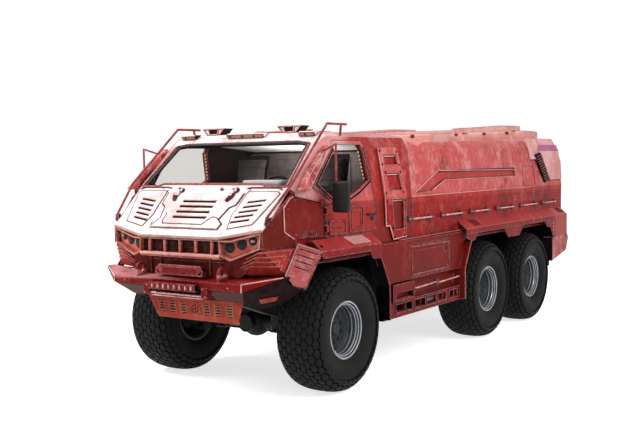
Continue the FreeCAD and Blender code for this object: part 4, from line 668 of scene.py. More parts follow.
def wheels():
    casing, dish, rings, centre = tyre_casing(), wheel_disc(), wheel_rings(), wheel_centre()
    for row in ROWS:
        for side in SIDES:
            node_name = f"{row}_{side}"
            body = f"wheel_{node_name}"
            face = Matrix.Identity(4) if side == "left" else Matrix.Rotation(math.pi, 4, "Z")
            place = Matrix.Translation(middle("tyre_" + node_name)) @ face @ Matrix.Scale(MM, 4)
            piece = finished("tread_tyre_" + node_name, placed(casing.copy(), place), TYRE_RUBBER, body)
            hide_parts("tyre_" + node_name)
            # The barrel and the sunk centre take darker copies of the wheel paint: painted shade.
            piece = finished("dished_rim_" + node_name, placed(dish.copy(), place), RIM_GREY, body, 25)
            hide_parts("rim_" + node_name)
            finished("rim_rings_" + node_name, placed(rings.copy(), place), RIM_SILVER, body, 40)
            finished("sunk_centre_" + node_name, placed(centre.copy(), place), RIM_SHADED_CENTRE, body, 25)


wheels()


# ---------------------------------------------------------------- more finishes
# Enamel in the shade of a seam, thick with old oil.
SEAM_ENAMEL = enamel("seam_enamel", "#6b211f", "#a04a47", "#3d1210", mottle=0.5)
# Enamel rubbed thin where hands and boots touch it: pale undercoat shows. Also the painted highlight on
# beads, edges and top faces.
PALE_ENAMEL = enamel("pale_enamel", "#ecafa9", "#fae3df", "#b4544f", mottle=0.6)
# Bolted plates: maroon coat with little chalk.
HATCH_ENAMEL = enamel("hatch_enamel", "#76201c", "#a6443f", "#5c1815", mottle=0.35, wear=0.8)
# Rubbed flap and ladder edges: dusty rose.
FLAP_ENAMEL = enamel("flap_enamel", "#b4595a", "#e3b0ae", "#8b3434", mottle=0.6)
# Painted shade: the dark behind a pressed opening or under a sheet, where no light reaches.
DARK_ENAMEL = plain("shaded_enamel", "#1d0a09", "#150707", 140, 0.75, spec=0.1)
# Unlit depth behind slots and holes: black, no shine.
OPENING_BLACK = plain("opening_black", "#0b0808", "#120d0c", 60, 0.85, spec=0.1)
# Pressed quarter panel: even red with few chips.
RIB_ENAMEL = enamel("rib_enamel", "#a4332e", "#c25e59", "#7c1f1b", mottle=0.5, wear=0.1)
# Primer-pink edge round lamps and louvres.
LAMP_RIM = enamel("lamp_rim_enamel", "#d98673", "#f3c4b6", "#a84b3a", mottle=0.6)
# Hood lid: coat almost white, chalked by the sun and with a painted glare, with pink streaks.
LID_ENAMEL = enamel("lid_enamel", "#fdf0ef", "#f0bdb9", "#d08883", mottle=0.55)
# Sheet under the nose: dark oxide red, in shade.
BELLY_ENAMEL = enamel("belly_enamel", "#45100e", "#6e2522", "#250807", mottle=0.5, wear=0.2)
# Hinge straps: dark, greasy maroon.
HINGE_ENAMEL = enamel("hinge_enamel", "#5a1614", "#8c3430", "#2e0b0a", mottle=0.5, wear=0.2)
# Raised vent strips, white from wear down to filler and from a painted highlight.
VENT_LINE = enamel("vent_line_enamel", "#f6d3cf", "#ffffff", "#e0a19c", mottle=0.3, grime_and_shade=0.1)
# Raised ribs of the quarter panel, rubbed light.
RIB_LINE = enamel("rib_line_enamel", "#c2615c", "#e0a09c", "#8c2f2b", mottle=0.5, wear=0.2)
# Old yellowed enamel on the hood's front lip.
TAN_TRIM = enamel("tan_trim", "#c49a86", "#e5c9b6", "#9b5c4c", mottle=0.5)
# Cast brackets, nearly black with grease.
GRAB_FOOT = plain("grab_bracket", "#3a1413", "#58201d", 40, 0.55, edge_code="#7e4340")
# The same enamel tinted plum: a plain band over the rear corner.
POD_BAND = enamel("pod_band", "#b3668b", "#d7a3bd", "#8f4a6c", mottle=0.4)
# Skirt enamel on raised edges, rubbed pink.
PALE_SKIRT = enamel("pale_skirt_enamel", "#a84f4b", "#dba09c", "#87302d", mottle=0.6)
# Silvered mirror behind float glass.
MIRROR_SILVER = plain("mirror_silver", "#c9ccd0", "#c2c6ca", 300, 0.08, metal=1.0, bump=0.0, depth=0.1)
# Enamel on the raked pillars, nearly white in patches: bleached by the sun and with a painted glare.
PILLAR_ENAMEL = enamel("pillar_enamel", "#c86664", "#fbdcda", "#8e2f2d", mottle=0.9)
# Enamel in the sunk stripe, brighter where the weather does not reach.
STRIPE_ENAMEL = enamel("stripe_enamel", "#b03c38", "#cd6c67", "#8e2b27")
# Moulded acrylic lamp lenses.
LENS_RED = plain("lens_red", "#8f0d10", "#7a0a0c", 15, 0.15, bump=0.3, depth=0.3)
LENS_AMBER = plain("lens_amber", "#c9641a", "#b35412", 15, 0.15, bump=0.3, depth=0.3)
# Tube guards: dull red, pale where hands rub them.
GUARD_ENAMEL = enamel("guard_enamel", "#97393a", "#d29593", "#6a2021", mottle=0.5)
painted(GUARD_ENAMEL, "guard_rails")
painted(FLAP_ENAMEL, "rear_bumper")
painted(LID_ENAMEL, "hood_lid")


# ---------------------------------------------------------------- hood
LID_HALF = [(445, 88), (461, 168), (388, 227), (431, 383), (496, 426), (509, 572)]
SIDE_PLATE = [(548, 618), (918, 618), (955, 588), (842, 175), (572, 108), (525, 286), (536, 367)]
LID_SLOTS = (232, 306, 381, 452)
SIDE_SLOTS = [((562 + 15 * i, 180 + 68 * i), (773 + 15 * i, 222 + 66 * i)) for i in range(5)]


def hood():
    slots = [[(a, b - 3), (c, d - 3), (c, d + 19), (a, b + 19)] for (a, b), (c, d) in SIDE_SLOTS]
    finished("hood_side_plates", both(blank(SIDE_PLATE, 5, slots, 1.5), HOOD), LID_ENAMEL)
    shade = joined(*[(blank(s, 1.2), spot(HOOD, 0, 0, 0.6)) for s in slots])
    finished("hood_side_slots", twinned(shade), OPENING_BLACK)
    lips = on(HOOD, *[blank([(a - 4, b + 19), (c + 4, d + 19), (c + 4, d + 31), (a - 4, b + 31)], 9, edge=3)
                    for (a, b), (c, d) in SIDE_SLOTS])
    finished("hood_side_louvres", twinned(lips), PALE_ENAMEL)
    # Dark seam beads: painted shadow lines along the hood's seams.
    beads = on(HOOD, bead(SIDE_PLATE, 5, 4, True),
               bead([(515, 655), (560, 668), (905, 668), (958, 640)], 8, 6),
               bead([(a + 9, b) for a, b in LID_HALF] + [(519, 600)], 4, 2))
    finished("hood_beads", twinned(beads), SEAM_ENAMEL)

    lid = joined(*[(blank([(-222, s - 5), (222, s - 5), (222, s + 17), (-222, s + 17)], 1.2),
                    spot(HOOD, 0, 0, 8)) for s in LID_SLOTS])
    finished("lid_slots", lid, OPENING_BLACK, "hood_lid")
    lid = joined(*[(blank([(-228, s + 17), (228, s + 17), (220, s + 31), (-220, s + 31)], 10, edge=3),
                    spot(HOOD, 0, 0, 8)) for s in LID_SLOTS])
    finished("lid_louvres", lid, PALE_ENAMEL, "hood_lid")
    # Dark rail beads on the lid: painted shadow lines along its seams.
    lid = on(HOOD, bead([(-311, 152), (219, 150), (280, 232), (304, 255), (361, 248), (385, 222)], 6, 9),
             bead([(-311, 152), (-338, 205), (-330, 262), (-352, 300)], 5, 9),
             bead([(-430, 100), (430, 100)], 4, 9), bead([(-440, 130), (-395, 205)], 4, 9))
    finished("lid_rail", lid, SEAM_ENAMEL, "hood_lid")
    strap = blank([(334, 470), (366, 462), (402, 520), (408, 572), (350, 575), (352, 530)], 20, edge=4)
    pins = bolts(HOOD, [(352, 486), (372, 520), (368, 556), (392, 556)], 9, 6, 28)
    finished("lid_hinge_straps", twinned(joined((strap, spot(HOOD, 0, 0, 8)), (pins, None))), HINGE_ENAMEL,
             "hood_lid")
    cover = blank([(312, 606), (420, 606), (424, 640), (396, 664), (330, 650)], 14, edge=3)
    pins = bolts(HOOD, [(325, 630), (405, 634), (392, 652)], 8, 6, 14)
    finished("nose_hinge_covers", twinned(joined((cover, HOOD), (pins, None))), HINGE_ENAMEL)
    finished("hood_catch", joined((disc(17, 20, 12, 2), spot(HOOD, 191, 640)),
                                  (bolt(9, 8), spot(HOOD, 191, 640, 20))), SEAM_ENAMEL)
    rivets = [(x, 640) for x in (-620, -210, 0, 205, 560)]
    rivets += [(560, 600), (930, 600), (830, 200), (590, 140)]
    finished("hood_rivets", joined((bolts(HOOD, rivets + [(-x, s) for x, s in rivets[5:]], 5.5, 4, 4),
                                    None)), SEAM_ENAMEL)
    lip = on(FRONT, blank([(-512, 1634), (512, 1634), (512, 1657), (-512, 1657)], 6, edge=2))
    added(lip, twinned(on(CORNER, blank([(0, 1634), (486, 1714), (486, 1740), (0, 1657)], 6, edge=2))))
    finished("hood_lip_trim", lip, TAN_TRIM)
    bar = bead([(-955, 8), (-740, 8), (-672, 46), (672, 46), (740, 8), (955, 8)], 9, 3)
    finished("cowl_bead", on(SCREEN, bar), GUARD_ENAMEL)


hood()

# ---------------------------------------------------------------- windscreen and roof front
SEAL_OUT = [(-960, 8), (-737, 8), (-669, 46), (669, 46), (737, 8), (960, 8), (897, 660), (747, 692),
            (-747, 692), (-897, 660)]
SEAL_IN = [(-930, 22), (-728, 22), (-660, 60), (660, 60), (728, 22), (930, 22), (872, 648), (740, 677),
           (-740, 677), (-872, 648)]
MARKER_DOTS = (-205, -35, 125)


def windscreen():
    finished("windscreen_seal", on(SCREEN, blank(SEAL_OUT, 14, [SEAL_IN], 3, -15)), SEAL_RUBBER)
    lip = on(SCREEN, bead(rim_of(SEAL_OUT, -10), 6, 3, True))
    finished("windscreen_bead", lip, GUARD_ENAMEL)
    box_face = drawn_on((525, 22, 2680), X, Z)
    window = [(-52, 14), (52, 14), (62, 62), (-62, 62)]
    frame_face = border(rim_of(window, -14), 14, 10, edge=3)
    finished("roof_lamp_frames", both(frame_face, box_face), PALE_ENAMEL)
    finished("roof_lamp_windows", both(blank(window, 4), box_face), OPENING_BLACK)
    bars = on(box_face, block((-150, 150), (66, 74), (0, 14), 3),
              blank([(-90, 0), (-150, 66), (-136, 66), (-78, 0)], 12, edge=3),
              blank([(90, 0), (78, 0), (136, 66), (150, 66)], 12, edge=3))
    finished("roof_lamp_brows", twinned(bars), PALE_ENAMEL)
    face = drawn_on((0, -74, 2654), X, Vector((0, -24, 40)))
    dots = joined(*[(disc(11, 5, 14), spot(face, x, 2, 2)) for x in (*MARKER_DOTS, 800, -857)])
    finished("roof_marker_lenses", dots, OPENING_BLACK)
    strips = on(face, *[border([(a, -20), (b, -20), (b, 22), (a, 22)], 5, 4)
                      for a, b in ((-250, 250), (720, 915), (-915, -720))])
    finished("roof_marker_frames", strips, GUARD_ENAMEL)
    finished("roof_marker_faces", on(face, *[blank([(a, -16), (b, -16), (b, 18), (a, 18)], 2.5)
                                           for a, b in ((-245, 245), (725, 910), (-910, -725))]), TAN_TRIM)


windscreen()

# ---------------------------------------------------------------- nose face
LAMPS = ((621, 1561, 45), (751, 1593, 45), (868, 1627, 36))
LAMP_FACE = [(525, 1624), (645, 1625), (972, 1705), (957, 1553), (645, 1435), (531, 1482)]


def on_corner(x, z):
    """A point of the nose's corner face on its own drawing."""
    return ((x - 510) * math.hypot(479, 89) / 479, z)


def lamps():
    face = [on_corner(x, z) for x, z in LAMP_FACE]
    finished("lamp_corner_rims", both(border(rim_of(face, -3), 11, 8, -4, 2), CORNER), LAMP_RIM)
    rings, lenses, cores = bmesh.new(), bmesh.new(), bmesh.new()
    for x, z, r in LAMPS:
        place = spot(CORNER, *on_corner(x, z))
        added(rings, blank(circle(r + 9, 28), 7, [circle(r - 2, 28)], 1.5, -49), place)
        dome = turned([(-40, r - 3), (-36, r - 9), (-32, r * 0.6), (-30, r * 0.3), (-29, 0)], 24)
        added(lenses, dome, place @ Matrix.Rotation(-math.pi / 2, 4, "Y"))
        added(rings, blank(circle(r * 0.72, 24), 2, [circle(r * 0.66, 24)], low=-33), place)
    place = spot(CORNER, *on_corner(*LAMPS[2][:2]))
    added(cores, disc(15, 8, 16, 2, low=-30), place)
    added(cores, block((9, 32), (-9, 9), (-33, -25), 2), place)
    finished("lamp_bezels", twinned(rings), SEAL_RUBBER)
    finished("lamp_lenses", twinned(lenses), LAMP_LENS, smooth=60)
    finished("lamp_cores", twinned(cores), GRILLE_ENAMEL)


def grille():
    """Diamond mesh of welded wire behind the posts, with a dark box behind it."""
    low, high, half, pitch = 1484, 1624, 522, 26
    wires = bmesh.new()
    for way in (1, -1):
        for x0 in range(-half - (high - low), half, pitch):
            a, b = max(x0, -half), min(x0 + high - low, half)
            run = [(way * a, low + a - x0, 0), (way * b, low + b - x0, 0)]
            if b - a > pitch:
                added(wires, round_bar(run, 2.6, 4), spot(FRONT, 0, 0, -62 - 3 * way))
    finished("grille_mesh", wires, SEAM_ENAMEL)
    finished("grille_back", on(FRONT, block((-half, half), (low, high), (-72, -70))), OPENING_BLACK)
    # Pale caps along the grille's sill and top: painted highlight on faces that catch the light, with wear.
    finished("grille_sill_cap", on(FRONT, block((-532, 532), (1460, 1487), (-56, 4), 3),
                                   block((-510, 510), (1618, 1628), (-40, -6), 3)), PALE_ENAMEL)
    seams = on(FRONT, *[block((x - 16, x + 16), (low, high - 4), (-30, -22), 3)
                     for x in (-416, -207, 0, 207, 416)])
    finished("grille_post_caps", seams, GRILLE_ENAMEL)


def valance():
    """Dark sloping sheets under the nose that close it down to the bumper."""
    half = [(650, 1246), (744, 1292), (964, 1548), (640, 1462), (520, 1500)]
    sheet = blank(half + [(-a, b) for a, b in reversed(half)], 8, edge=2)
    finished("nose_valance", joined((sheet, spot(FRONT, 0, 0, -118))), SEAM_ENAMEL)
    ribs = on(FRONT, *[block((x - 9, x + 9), (1262, 1470), (-112, -92), 3) for x in (-470, -330, 330, 470)],
              *[block((-500, 500), (z, z + 10), (-110, -102), 2) for z in (1400, 1440)])
    finished("valance_ribs", ribs, SEAM_ENAMEL)
    tilt = drawn_on((0, -1150, 1262), X, Vector((0, 12, 100)))
    plate_face = [(-315, 0), (-315, 58), (-272, 104), (272, 104), (315, 58), (315, 0)]
    eyes = [[(-296, 14), (-250, 14), (-296, 56)], [(296, 14), (296, 56), (250, 14)]]
    finished("blank_name_bracket", on(tilt, blank(plate_face, 12, eyes, 3),
                                      block((-276, 276), (92, 104), (-70, 0), 3),
                                      block((-300, -284), (0, 60), (-70, 0), 3),
                                      block((284, 300), (0, 60), (-70, 0), 3)), GUARD_ENAMEL)
    finished("name_bracket_dark", joined((blank(rim_of(plate_face, 6), 2), spot(tilt, 0, 0, -30))),
             OPENING_BLACK)
    finished("name_bracket_blank_plate", on(tilt, block((-225, 225), (22, 84), (12, 16), 2)), HATCH_ENAMEL)


lamps()
grille()
valance()

# ---------------------------------------------------------------- bumper and skid plate
SKID = drawn_on((0, -938, 1003), X, Vector((0, -23, 171)))
BUMPER = drawn_on((0, -1216, 1228), X, Z)


UNDER_SHEET = ((848, -1190, 1151), (1174, -965, 1257), (760, -780, 934), (1156, -831, 1193),
               (1169, -670, 1136), (931, -662, 990), (739, -1045, 1028))


LAMP_SLOTS = range(-259, 260, 74)    # middles of the slots in the light bar


def bumper_details():
    slots = [rim_of([(x - 21, -88), (x + 21, -88), (x + 21, -44), (x - 21, -44)], 3)
             for x in LAMP_SLOTS]
    housing = [(-302, -96), (302, -96), (302, -36), (-302, -36)]
    finished("light_bar_housing", on(BUMPER, blank(housing, 12, slots, 3, 40),
                                     block((-308, 308), (-38, -30), (-8, 52), 3),
                                     block((-308, 308), (-102, -94), (-8, 52), 3)), BUMPER_ENAMEL)
    tubes = on(BUMPER, *[round_bar([(x - 3, -86, 44), (x - 3, -46, 44)], 11, 10)
                         for x in LAMP_SLOTS])
    finished("light_bar_tubes", tubes, RUBBED_STEEL, smooth=50)
    fins = joined(*[(blank([(x, -138), (x + 9, -138), (x - 41, -100), (x - 50, -100)], 26, edge=2),
                     spot(BUMPER, 0, 0, -34)) for x in range(-300, 360, 38)])
    finished("intake_fins", fins, CHASSIS_BLACK)
    finished("intake_shade", on(BUMPER, block((-352, 352), (-140, -80), (-48, -44))), OPENING_BLACK)
    finished("bumper_lower_bar", on(BUMPER, round_bar([(-350, -146, -20), (350, -146, -20)], 12, 12),
                                    round_bar([(-350, -172, -26), (350, -172, -26)], 7, 8)), RUBBED_STEEL)
    screws = [(s * x, z) for s in (-1, 1) for x, z in ((372, -72), (404, -146), (690, -40))]
    finished("bumper_screws", bolts(BUMPER, screws, 8, 6, 8), RUBBED_STEEL)
    finished("bumper_face_seams", on(BUMPER, *[block((x - 2, x + 2), (-76, -2), (-3, 1))
                                          for x in (-600, -300, 300, 600)]), SEAM_ENAMEL)
    top = drawn_on((0, -1216, 1228), X, Vector((0, 263, 34)))
    finished("bumper_top_pads", on(top, blank([(-820, 26), (-660, 26), (-640, 150), (-820, 190)], 3,
                                              edge=1), blank([(660, 26), (820, 26), (820, 190), (640, 150)],
                                                             3, edge=1)), BUMPER_ENAMEL)
    blades, dark = bmesh.new(), bmesh.new()
    blade = block((-36, 36), (-8, 8), (-3, 3), 1)
    for x in (-458, -305, -155, 155, 305, 458):
        for i in range(4):
            place = spot(SKID, x, -58 - 29 * i, 0) @ Matrix.Rotation(math.radians(-38), 4, "X")
            added(blades, blade, place)
        added(dark, block((-38, 38), (-164, -40), (-34, -32)), spot(SKID, x, 0))
        for edge_x in (-41, 41):
            added(blades, block((edge_x - 4, edge_x + 4), (-166, -38), (-1, 5), 1), spot(SKID, x, 0))
    finished("skid_louvres", blades, LAMP_RIM)
    added(dark, disc(66, 2, 20, low=-34), spot(SKID, 0, -102))
    finished("skid_openings", dark, OPENING_BLACK)
    holes = [circle(12, 10)] + [circle(11, 10, 36 * math.cos(a), 36 * math.sin(a))
                                for a in (math.tau * i / 6 + 0.3 for i in range(6))]
    cover = joined((blank(circle(61, 30), 8, holes, 1.5, -8), None),
                   (blank(circle(68, 30), 6, [circle(59, 30)], 1.5), None))
    finished("skid_round_cover", joined((cover, spot(SKID, 0, -102))), SKID_ENAMEL)
    finished("skid_screws", bolts(SKID, [(s * x, y) for s in (-1, 1) for x,
                                         y in ((90, -22), (230, -22), (560, -22), (520, -150))], 7, 5),
             SEAM_ENAMEL)
    # Painted shade: near-black sheets under the bumper wings and on their ends.
    wing = [(848, -1202, 1151), (1170, -1000, 1275), (1080, -1000, 1140)]
    place, outline = sheet_on(wing, (1, -1, 0))
    end = [(1180, -1000, 1290), (1180, -890, 1290), (1080, -890, 1140), (1080, -1000, 1140)]
    end_place, end_outline = sheet_on(end, (1, 0, 0))
    sheets = joined((blank(outline, 9, low=2), place), (blank(end_outline, 4, low=1), end_place))
    finished("bumper_wing_undersides", twinned(sheets), DARK_ENAMEL)
    place, flat = sheet_on(UNDER_SHEET, (1, -1, -1))
    outline = [flat[i] for i in (0, 1, 3, 4, 5, 2, 6)]
    sheet = on(place, blank(outline, 6, edge=2, low=-6))
    # Painted shade: the left end sheet is near-black, its mirror on the right seam red.
    finished("bumper_end_sheet_left", sheet.copy(), DARK_ENAMEL)
    bmesh.ops.scale(sheet, vec=(-1, 1, 1), verts=sheet.verts[:])
    bmesh.ops.reverse_faces(sheet, faces=sheet.faces[:])
    finished("bumper_end_sheet_right", sheet, SEAM_ENAMEL)
    belly_place, belly = sheet_on([(385, -1193, 1148), (846, -1188, 1149), (738, -1045, 1028),
                                   (425, -1048, 1028)], (0, -1, -1))
    finished("bumper_belly_sheets", both(blank(belly, 5), belly_place), BELLY_ENAMEL)
    shelf = blank([(700, -960), (848, -957), (1176, -892), (1112, -850), (740, -900)], 5, low=1266)
    finished("bumper_shelf", both(shelf, WHOLE), BUMPER_ENAMEL)
    lug = [(856, -960, 1063), (980, -822, 1083), (927, -784, 1036), (820, -885, 1012)]
    outline = [tuple((place.inverted() @ at(*p)).xy) for p in lug]
    eye = tuple(sum(v) / 4 for v in zip(*outline))
    finished("bumper_end_lugs", both(blank(outline, 12, [circle(13, 12, *eye)], 3), place), SKID_ENAMEL)
    finished("bumper_end_lug_holes", both(disc(13, 3, 12), spot(place, *eye)), OPENING_BLACK)
    edge = round_bar([(848, -1217, 1151), (848, -1217, 1229), (1180, -1001, 1290)], 6, 6)
    finished("bumper_wing_beads", both(edge, WHOLE), PALE_ENAMEL)


bumper_details()

# ---------------------------------------------------------------- cheeks, flaps and fenders
HATCH = [(276, 1700), (270, 1930), (352, 2018), (400, 2035), (800, 1950), (812, 1622), (404, 1622)]
FLAP = drawn_on((1107, -655, 1578), Vector((190, 140, -81)), Vector((-0.107, 0.603, 0.790)))
QUARTER = ((960.2, -1068, 1546), (1097.8, -668, 1546), (1106, -868, 1292), (740, -1020, 1292))
FLAP_FACE = [(0, 0), (250, 0), (191, -443), (71, -456), (-28, -381)]


def cheeks():
    slots = [[(x, 1640), (x + 11, 1640), (x + 11, 1688), (x, 1688)] for x in range(470, 720, 26)]
    finished("hatch_plates", both(blank(HATCH, 9, slots, 2, 3), CHEEK), HATCH_ENAMEL)
    finished("hatch_slots", both(joined((block((460, 730), (1632, 1696), (1, 5)), None)), CHEEK),
             OPENING_BLACK)
    # Painted shadow along the hatch plate's rear and top edges; its front and lower edges are pale from wear
    # and a painted highlight.
    finished("hatch_shadow_edges", both(bead([(812, 1624), (800, 1950), (400, 2035)], 7, 8), CHEEK), OPENING_BLACK)
    rim = bead([(404, 1622), (276, 1700), (270, 1930), (352, 2018), (400, 2035)], 7, 8)
    finished("hatch_bright_edges", both(rim, CHEEK), PALE_ENAMEL)
    finished("hatch_bolts", twinned(bolts(CHEEK,
                                          [(322, 1920), (334, 1737), (420, 1660), (410, 1998), (768, 1930),
                                           (776, 1660)], 11, 7, 12)), SEAM_ENAMEL)
    foot = joined((block((40, 120), (1770, 1850), (0, 14), 3), None),
                  (bolt(11, 22), Matrix.Translation((62, 1795, 8))),
                  (bolt(11, 22), Matrix.Translation((100, 1830, 8))))
    finished("guard_rail_feet", both(foot, CHEEK), SEAM_ENAMEL)
    top_front, top_back, low_back, low_front = (Vector(p) for p in QUARTER)

    def on_quarter(s, t):
        """A point of the folded panel: s along its top edge, t down it."""
        if t < s:
            return top_front + s * (top_back - top_front) + t * (low_back - top_back)
        return top_front + t * (low_front - top_front) + s * (low_back - low_front)

    facets = bmesh.new()
    for corners in ((top_front, low_back, low_front), (top_front, top_back, low_back)):
        place, outline = sheet_on(corners, (1, -1, -1))
        added(facets, blank(rim_of(outline, 4), 3, low=0.5), place)
    finished("quarter_panel_facets", twinned(facets), RIB_ENAMEL)
    ribs = bmesh.new()
    for t, s in ((0.10, 0.88), (0.28, 0.78), (0.46, 0.68), (0.64, 0.80)):
        start = on_quarter(0, t) + Vector((-150, 6, -66))
        run = [start, on_quarter(0.01, t), on_quarter(t, t), on_quarter(s, t),
               on_quarter(s + 0.01, min(s + 0.01, t + 0.2))]
        added(ribs, round_bar([p + Vector((1, -2, -1)) for p in run], 9, 6), WHOLE)
    finished("quarter_panel_ribs", twinned(ribs), RIB_LINE)
    edge = round_bar([p + Vector((4, -6, 0)) for p in (low_back, top_back)], 9, 6)
    finished("quarter_panel_edges", both(edge, WHOLE), PALE_ENAMEL)

    slots = [[(26, v - 5), (214 - 14 * i, v - 5), (214 - 14 * i, v + 6), (26, v + 6)]
             for i, v in enumerate((-48, -114, -182, -250))]
    finished("flap_plates", both(blank(rim_of(FLAP_FACE, 10), 6, slots, 2, 2), FLAP), FLAP_ENAMEL)
    finished("flap_slots", both(joined(*[(blank(rim_of(s, -3), 2, low=1), None) for s in slots]), FLAP),
             OPENING_BLACK)
    finished("flap_flanges", both(blank([(236, 4), (252, 4), (193, -445), (177, -445)], 62, edge=2,
                                        low=-54), FLAP), FENDER_ENAMEL)
    finished("flap_bright_edges", both(bead([(-26, -378), (2, -4), (228, -4)], 6, 6), FLAP), PALE_ENAMEL)


def arch_details():
    vents = on(ARCH_TOP, *[blank([(a, 152), (a + 20, 152), (a + 86, 30), (a + 66, 30)], 4, edge=1)
                     for a in range(40, 380, 50)])
    finished("fender_front_vents", twinned(vents), VENT_LINE)
    welds = on(WHOLE, *[round_bar([(1303, 5717, z), (1303, 5717, z + 36)], 7, 6)
                        for z in range(1196, 1420, 56)])
    finished("fender_tail_welds", twinned(welds), PALE_ENAMEL)
    slots = on(ARCH_TOP, *[blank([(a, 150), (a + 15, 150), (a + 68, 34), (a + 53, 34)], 2)
                     for start in (2930, 6010) for a in range(start, start + 205, 36)])
    finished("fender_rear_vents", twinned(slots), OPENING_BLACK)
    finished("fender_hole", both(disc(19, 3, 16), spot(ARCH_TOP, -460, 68, 1)), OPENING_BLACK)
    outer = drawn_on((1305, 0, 0), Y, Z)
    spots = [(545, 1372), (2870, 1400), (2900, 1360), (4010, 1340), (4340, 1340), (5490, 1370), (6270, 1230),
             (5790, 1190), (4170, 1320)]
    finished("fender_bolts", twinned(bolts(outer, spots, 12, 7)), SEAM_ENAMEL)
    strips = on(outer, block((-505, 470), (1424, 1436), (0, 5), 2),
                block((2712, 6290), (1424, 1436), (0, 5), 2))
    finished("fender_lip_strips", twinned(strips), FENDER_ENAMEL)


def arch_liners():
    """Near-black sheets inside the wheel arches: painted shade."""
    walls = on(WHOLE, block((728, 736), (2700, 6290), (960, 1392)),
               block((736, 1176), (2700, 6290), (1388, 1394)),
               block((480, 1176), (-480, 760), (1388, 1394)),
               block((700, 1294), (6270, 6282), (1110, 1425)),
               block((620, 1065), (6160, 6172), (670, 1394)),
               block((1118, 1288), (5698, 5708), (800, 1152), 2))
    finished("arch_liners", twinned(walls), OPENING_BLACK)


cheeks()
arch_details()
arch_liners()

# ---------------------------------------------------------------- doors
# Cream braided cord over the aperture seal, grey where hands catch it; its short dashes are painted glints on
# the seal.
PIPING_CORD = plain("piping_cord", "#f1ead0", "#d8cfae", 8, 0.8, bump=0.5, depth=0.4, spec=0.15)


def doors():
    front_frame = [(-215, -170), (100, -180), (100, -325), (-215, -318)]
    rear_frame = [(150, -40), (430, -52), (430, -325), (150, -318)]
    panels = on(LOW_SIDE, border(front_frame, 16, 10, edge=3), border(rear_frame, 16, 10, edge=3),
                blank(rim_of(front_frame, 60), 6, edge=2), border(rim_of(rear_frame, 46), 8, 7, edge=2))
    finished_pair("door_panels", panels, HATCH_ENAMEL, "door")
    heads = bolts(LOW_SIDE, [(-190, -192), (76, -200), (76, -302), (-190, -298), (172, -62), (406, -74),
                             (406, -302), (172, -298), (500, -80), (500, -300)], 9, 6, 4)
    finished_pair("door_bolts", heads, SEAM_ENAMEL, "door")
    window = [(-42, 542), (-385, 199), (-110, 28), (130, 28), (380, 115), (588, 216), (510, 542)]
    near, far = rim_of(window, -7), rim_of(window, -33)
    # Painted shade: a near-black strip in the sunk edge around the window.
    groove_shade = [near[6], far[6], *reversed(far[:6]), *near[:6]]
    finished_pair("door_window_grooves", on(HIGH_SIDE, blank(groove_shade, 2)), DARK_ENAMEL, "door")
    ridges = on(HIGH_SIDE, bead(rim_of(window, -2), 5, 3), bead(far, 4, 3))
    finished_pair("door_window_beads", ridges, FLAP_ENAMEL, "door")
    # Short cream dashes along the seal: painted glints.
    dashes = on(HIGH_SIDE, *[round_bar([(497 + 9 * i, 530 - 40 * i, -52), (501 + 9 * i, 510 - 40 * i, -52)],
                                       9, 6) for i in range(8)])
    finished_pair("door_window_piping", dashes, PIPING_CORD, "door")
    seam = joined((bead([(-244, -335), (-244, -2)], 4, 0), LOW_SIDE),
                  (bead([(-244, 2), (-400, 150)], 4, 0), HIGH_SIDE),
                  (bead([(694, -335), (672, -2)], 4, 0), LOW_SIDE),
                  (bead([(672, 2), (585, 545)], 4, 0), HIGH_SIDE))
    finished_pair("door_seams", seam, SEAM_ENAMEL, "door")
    grip = on(LOW_SIDE, round_bar([(500, -150, 2), (500, -150, 44), (630, -150, 44), (630, -150, 2)], 9, 8),
              block((590, 640), (-215, -180), (0, 12), 3))
    finished_pair("door_grips", grip, BLACK_PLASTIC, "door")


doors()

# ---------------------------------------------------------------- body sides
PLATE_LIFT = 25.0


def ladder():
    """Edges, sunk steps and bolts of the climbing plate."""
    steps_high = [[(890, 485), (1160, 485), (1185, 375), (905, 375)],
                  [(930, 280), (1200, 280), (1245, 90), (965, 90)]]
    step_low = [(1000, -10), (1262, -10), (1272, -348), (1060, -348)]
    frames = joined(*[(border(rim_of(s, -10), 10, 9, edge=3), spot(HIGH_SIDE, 0, 0, PLATE_LIFT - 4))
                      for s in steps_high], (border(rim_of(step_low, -10), 10, 9, edge=3),
                                             spot(LOW_SIDE, 0, 0, PLATE_LIFT - 4)))
    finished("ladder_frames", twinned(frames), FLAP_ENAMEL)
    treads = joined(*[(block((s[0][0] + 14, s[1][0] - 10), (s[0][1] - 22, s[0][1] - 8), (0, 20), 4),
                       HIGH_SIDE) for s in steps_high], (block((1018, 1246), (-34, -20), (0, 20), 4),
                                                         LOW_SIDE))
    finished("ladder_treads", twinned(treads), PALE_ENAMEL)
    # Pale beads on the plate's front edges: painted highlight, with wear.
    edge = joined((bead([(788, 548), (850, 210)], 7, 22), HIGH_SIDE),
                  (bead([(852, 200), (856, 4)], 7, 22), HIGH_SIDE),
                  (bead([(856, -4), (880, -300), (958, -300)], 7, 22), LOW_SIDE),
                  (bead([(962, -302), (1040, -458), (1330, -440)], 7, 22), LOW_SIDE))
    finished("ladder_bright_edges", twinned(edge), PALE_ENAMEL)
    dark = joined((bolts(HIGH_SIDE, [(815, 525), (1180, 515), (850, 378), (1218, 372), (880, 60),
                                     (1262, 60), (1235, 290), (905, 290)], 13, 8, PLATE_LIFT - 1), None),
                  (bolts(LOW_SIDE, [(890, -30), (900, -235), (1020, -330), (1292, -320), (1286, -430),
                                    (1058, -436), (1292, -30)], 13, 8, PLATE_LIFT - 1), None))
    finished("ladder_bolts", twinned(dark), OPENING_BLACK)


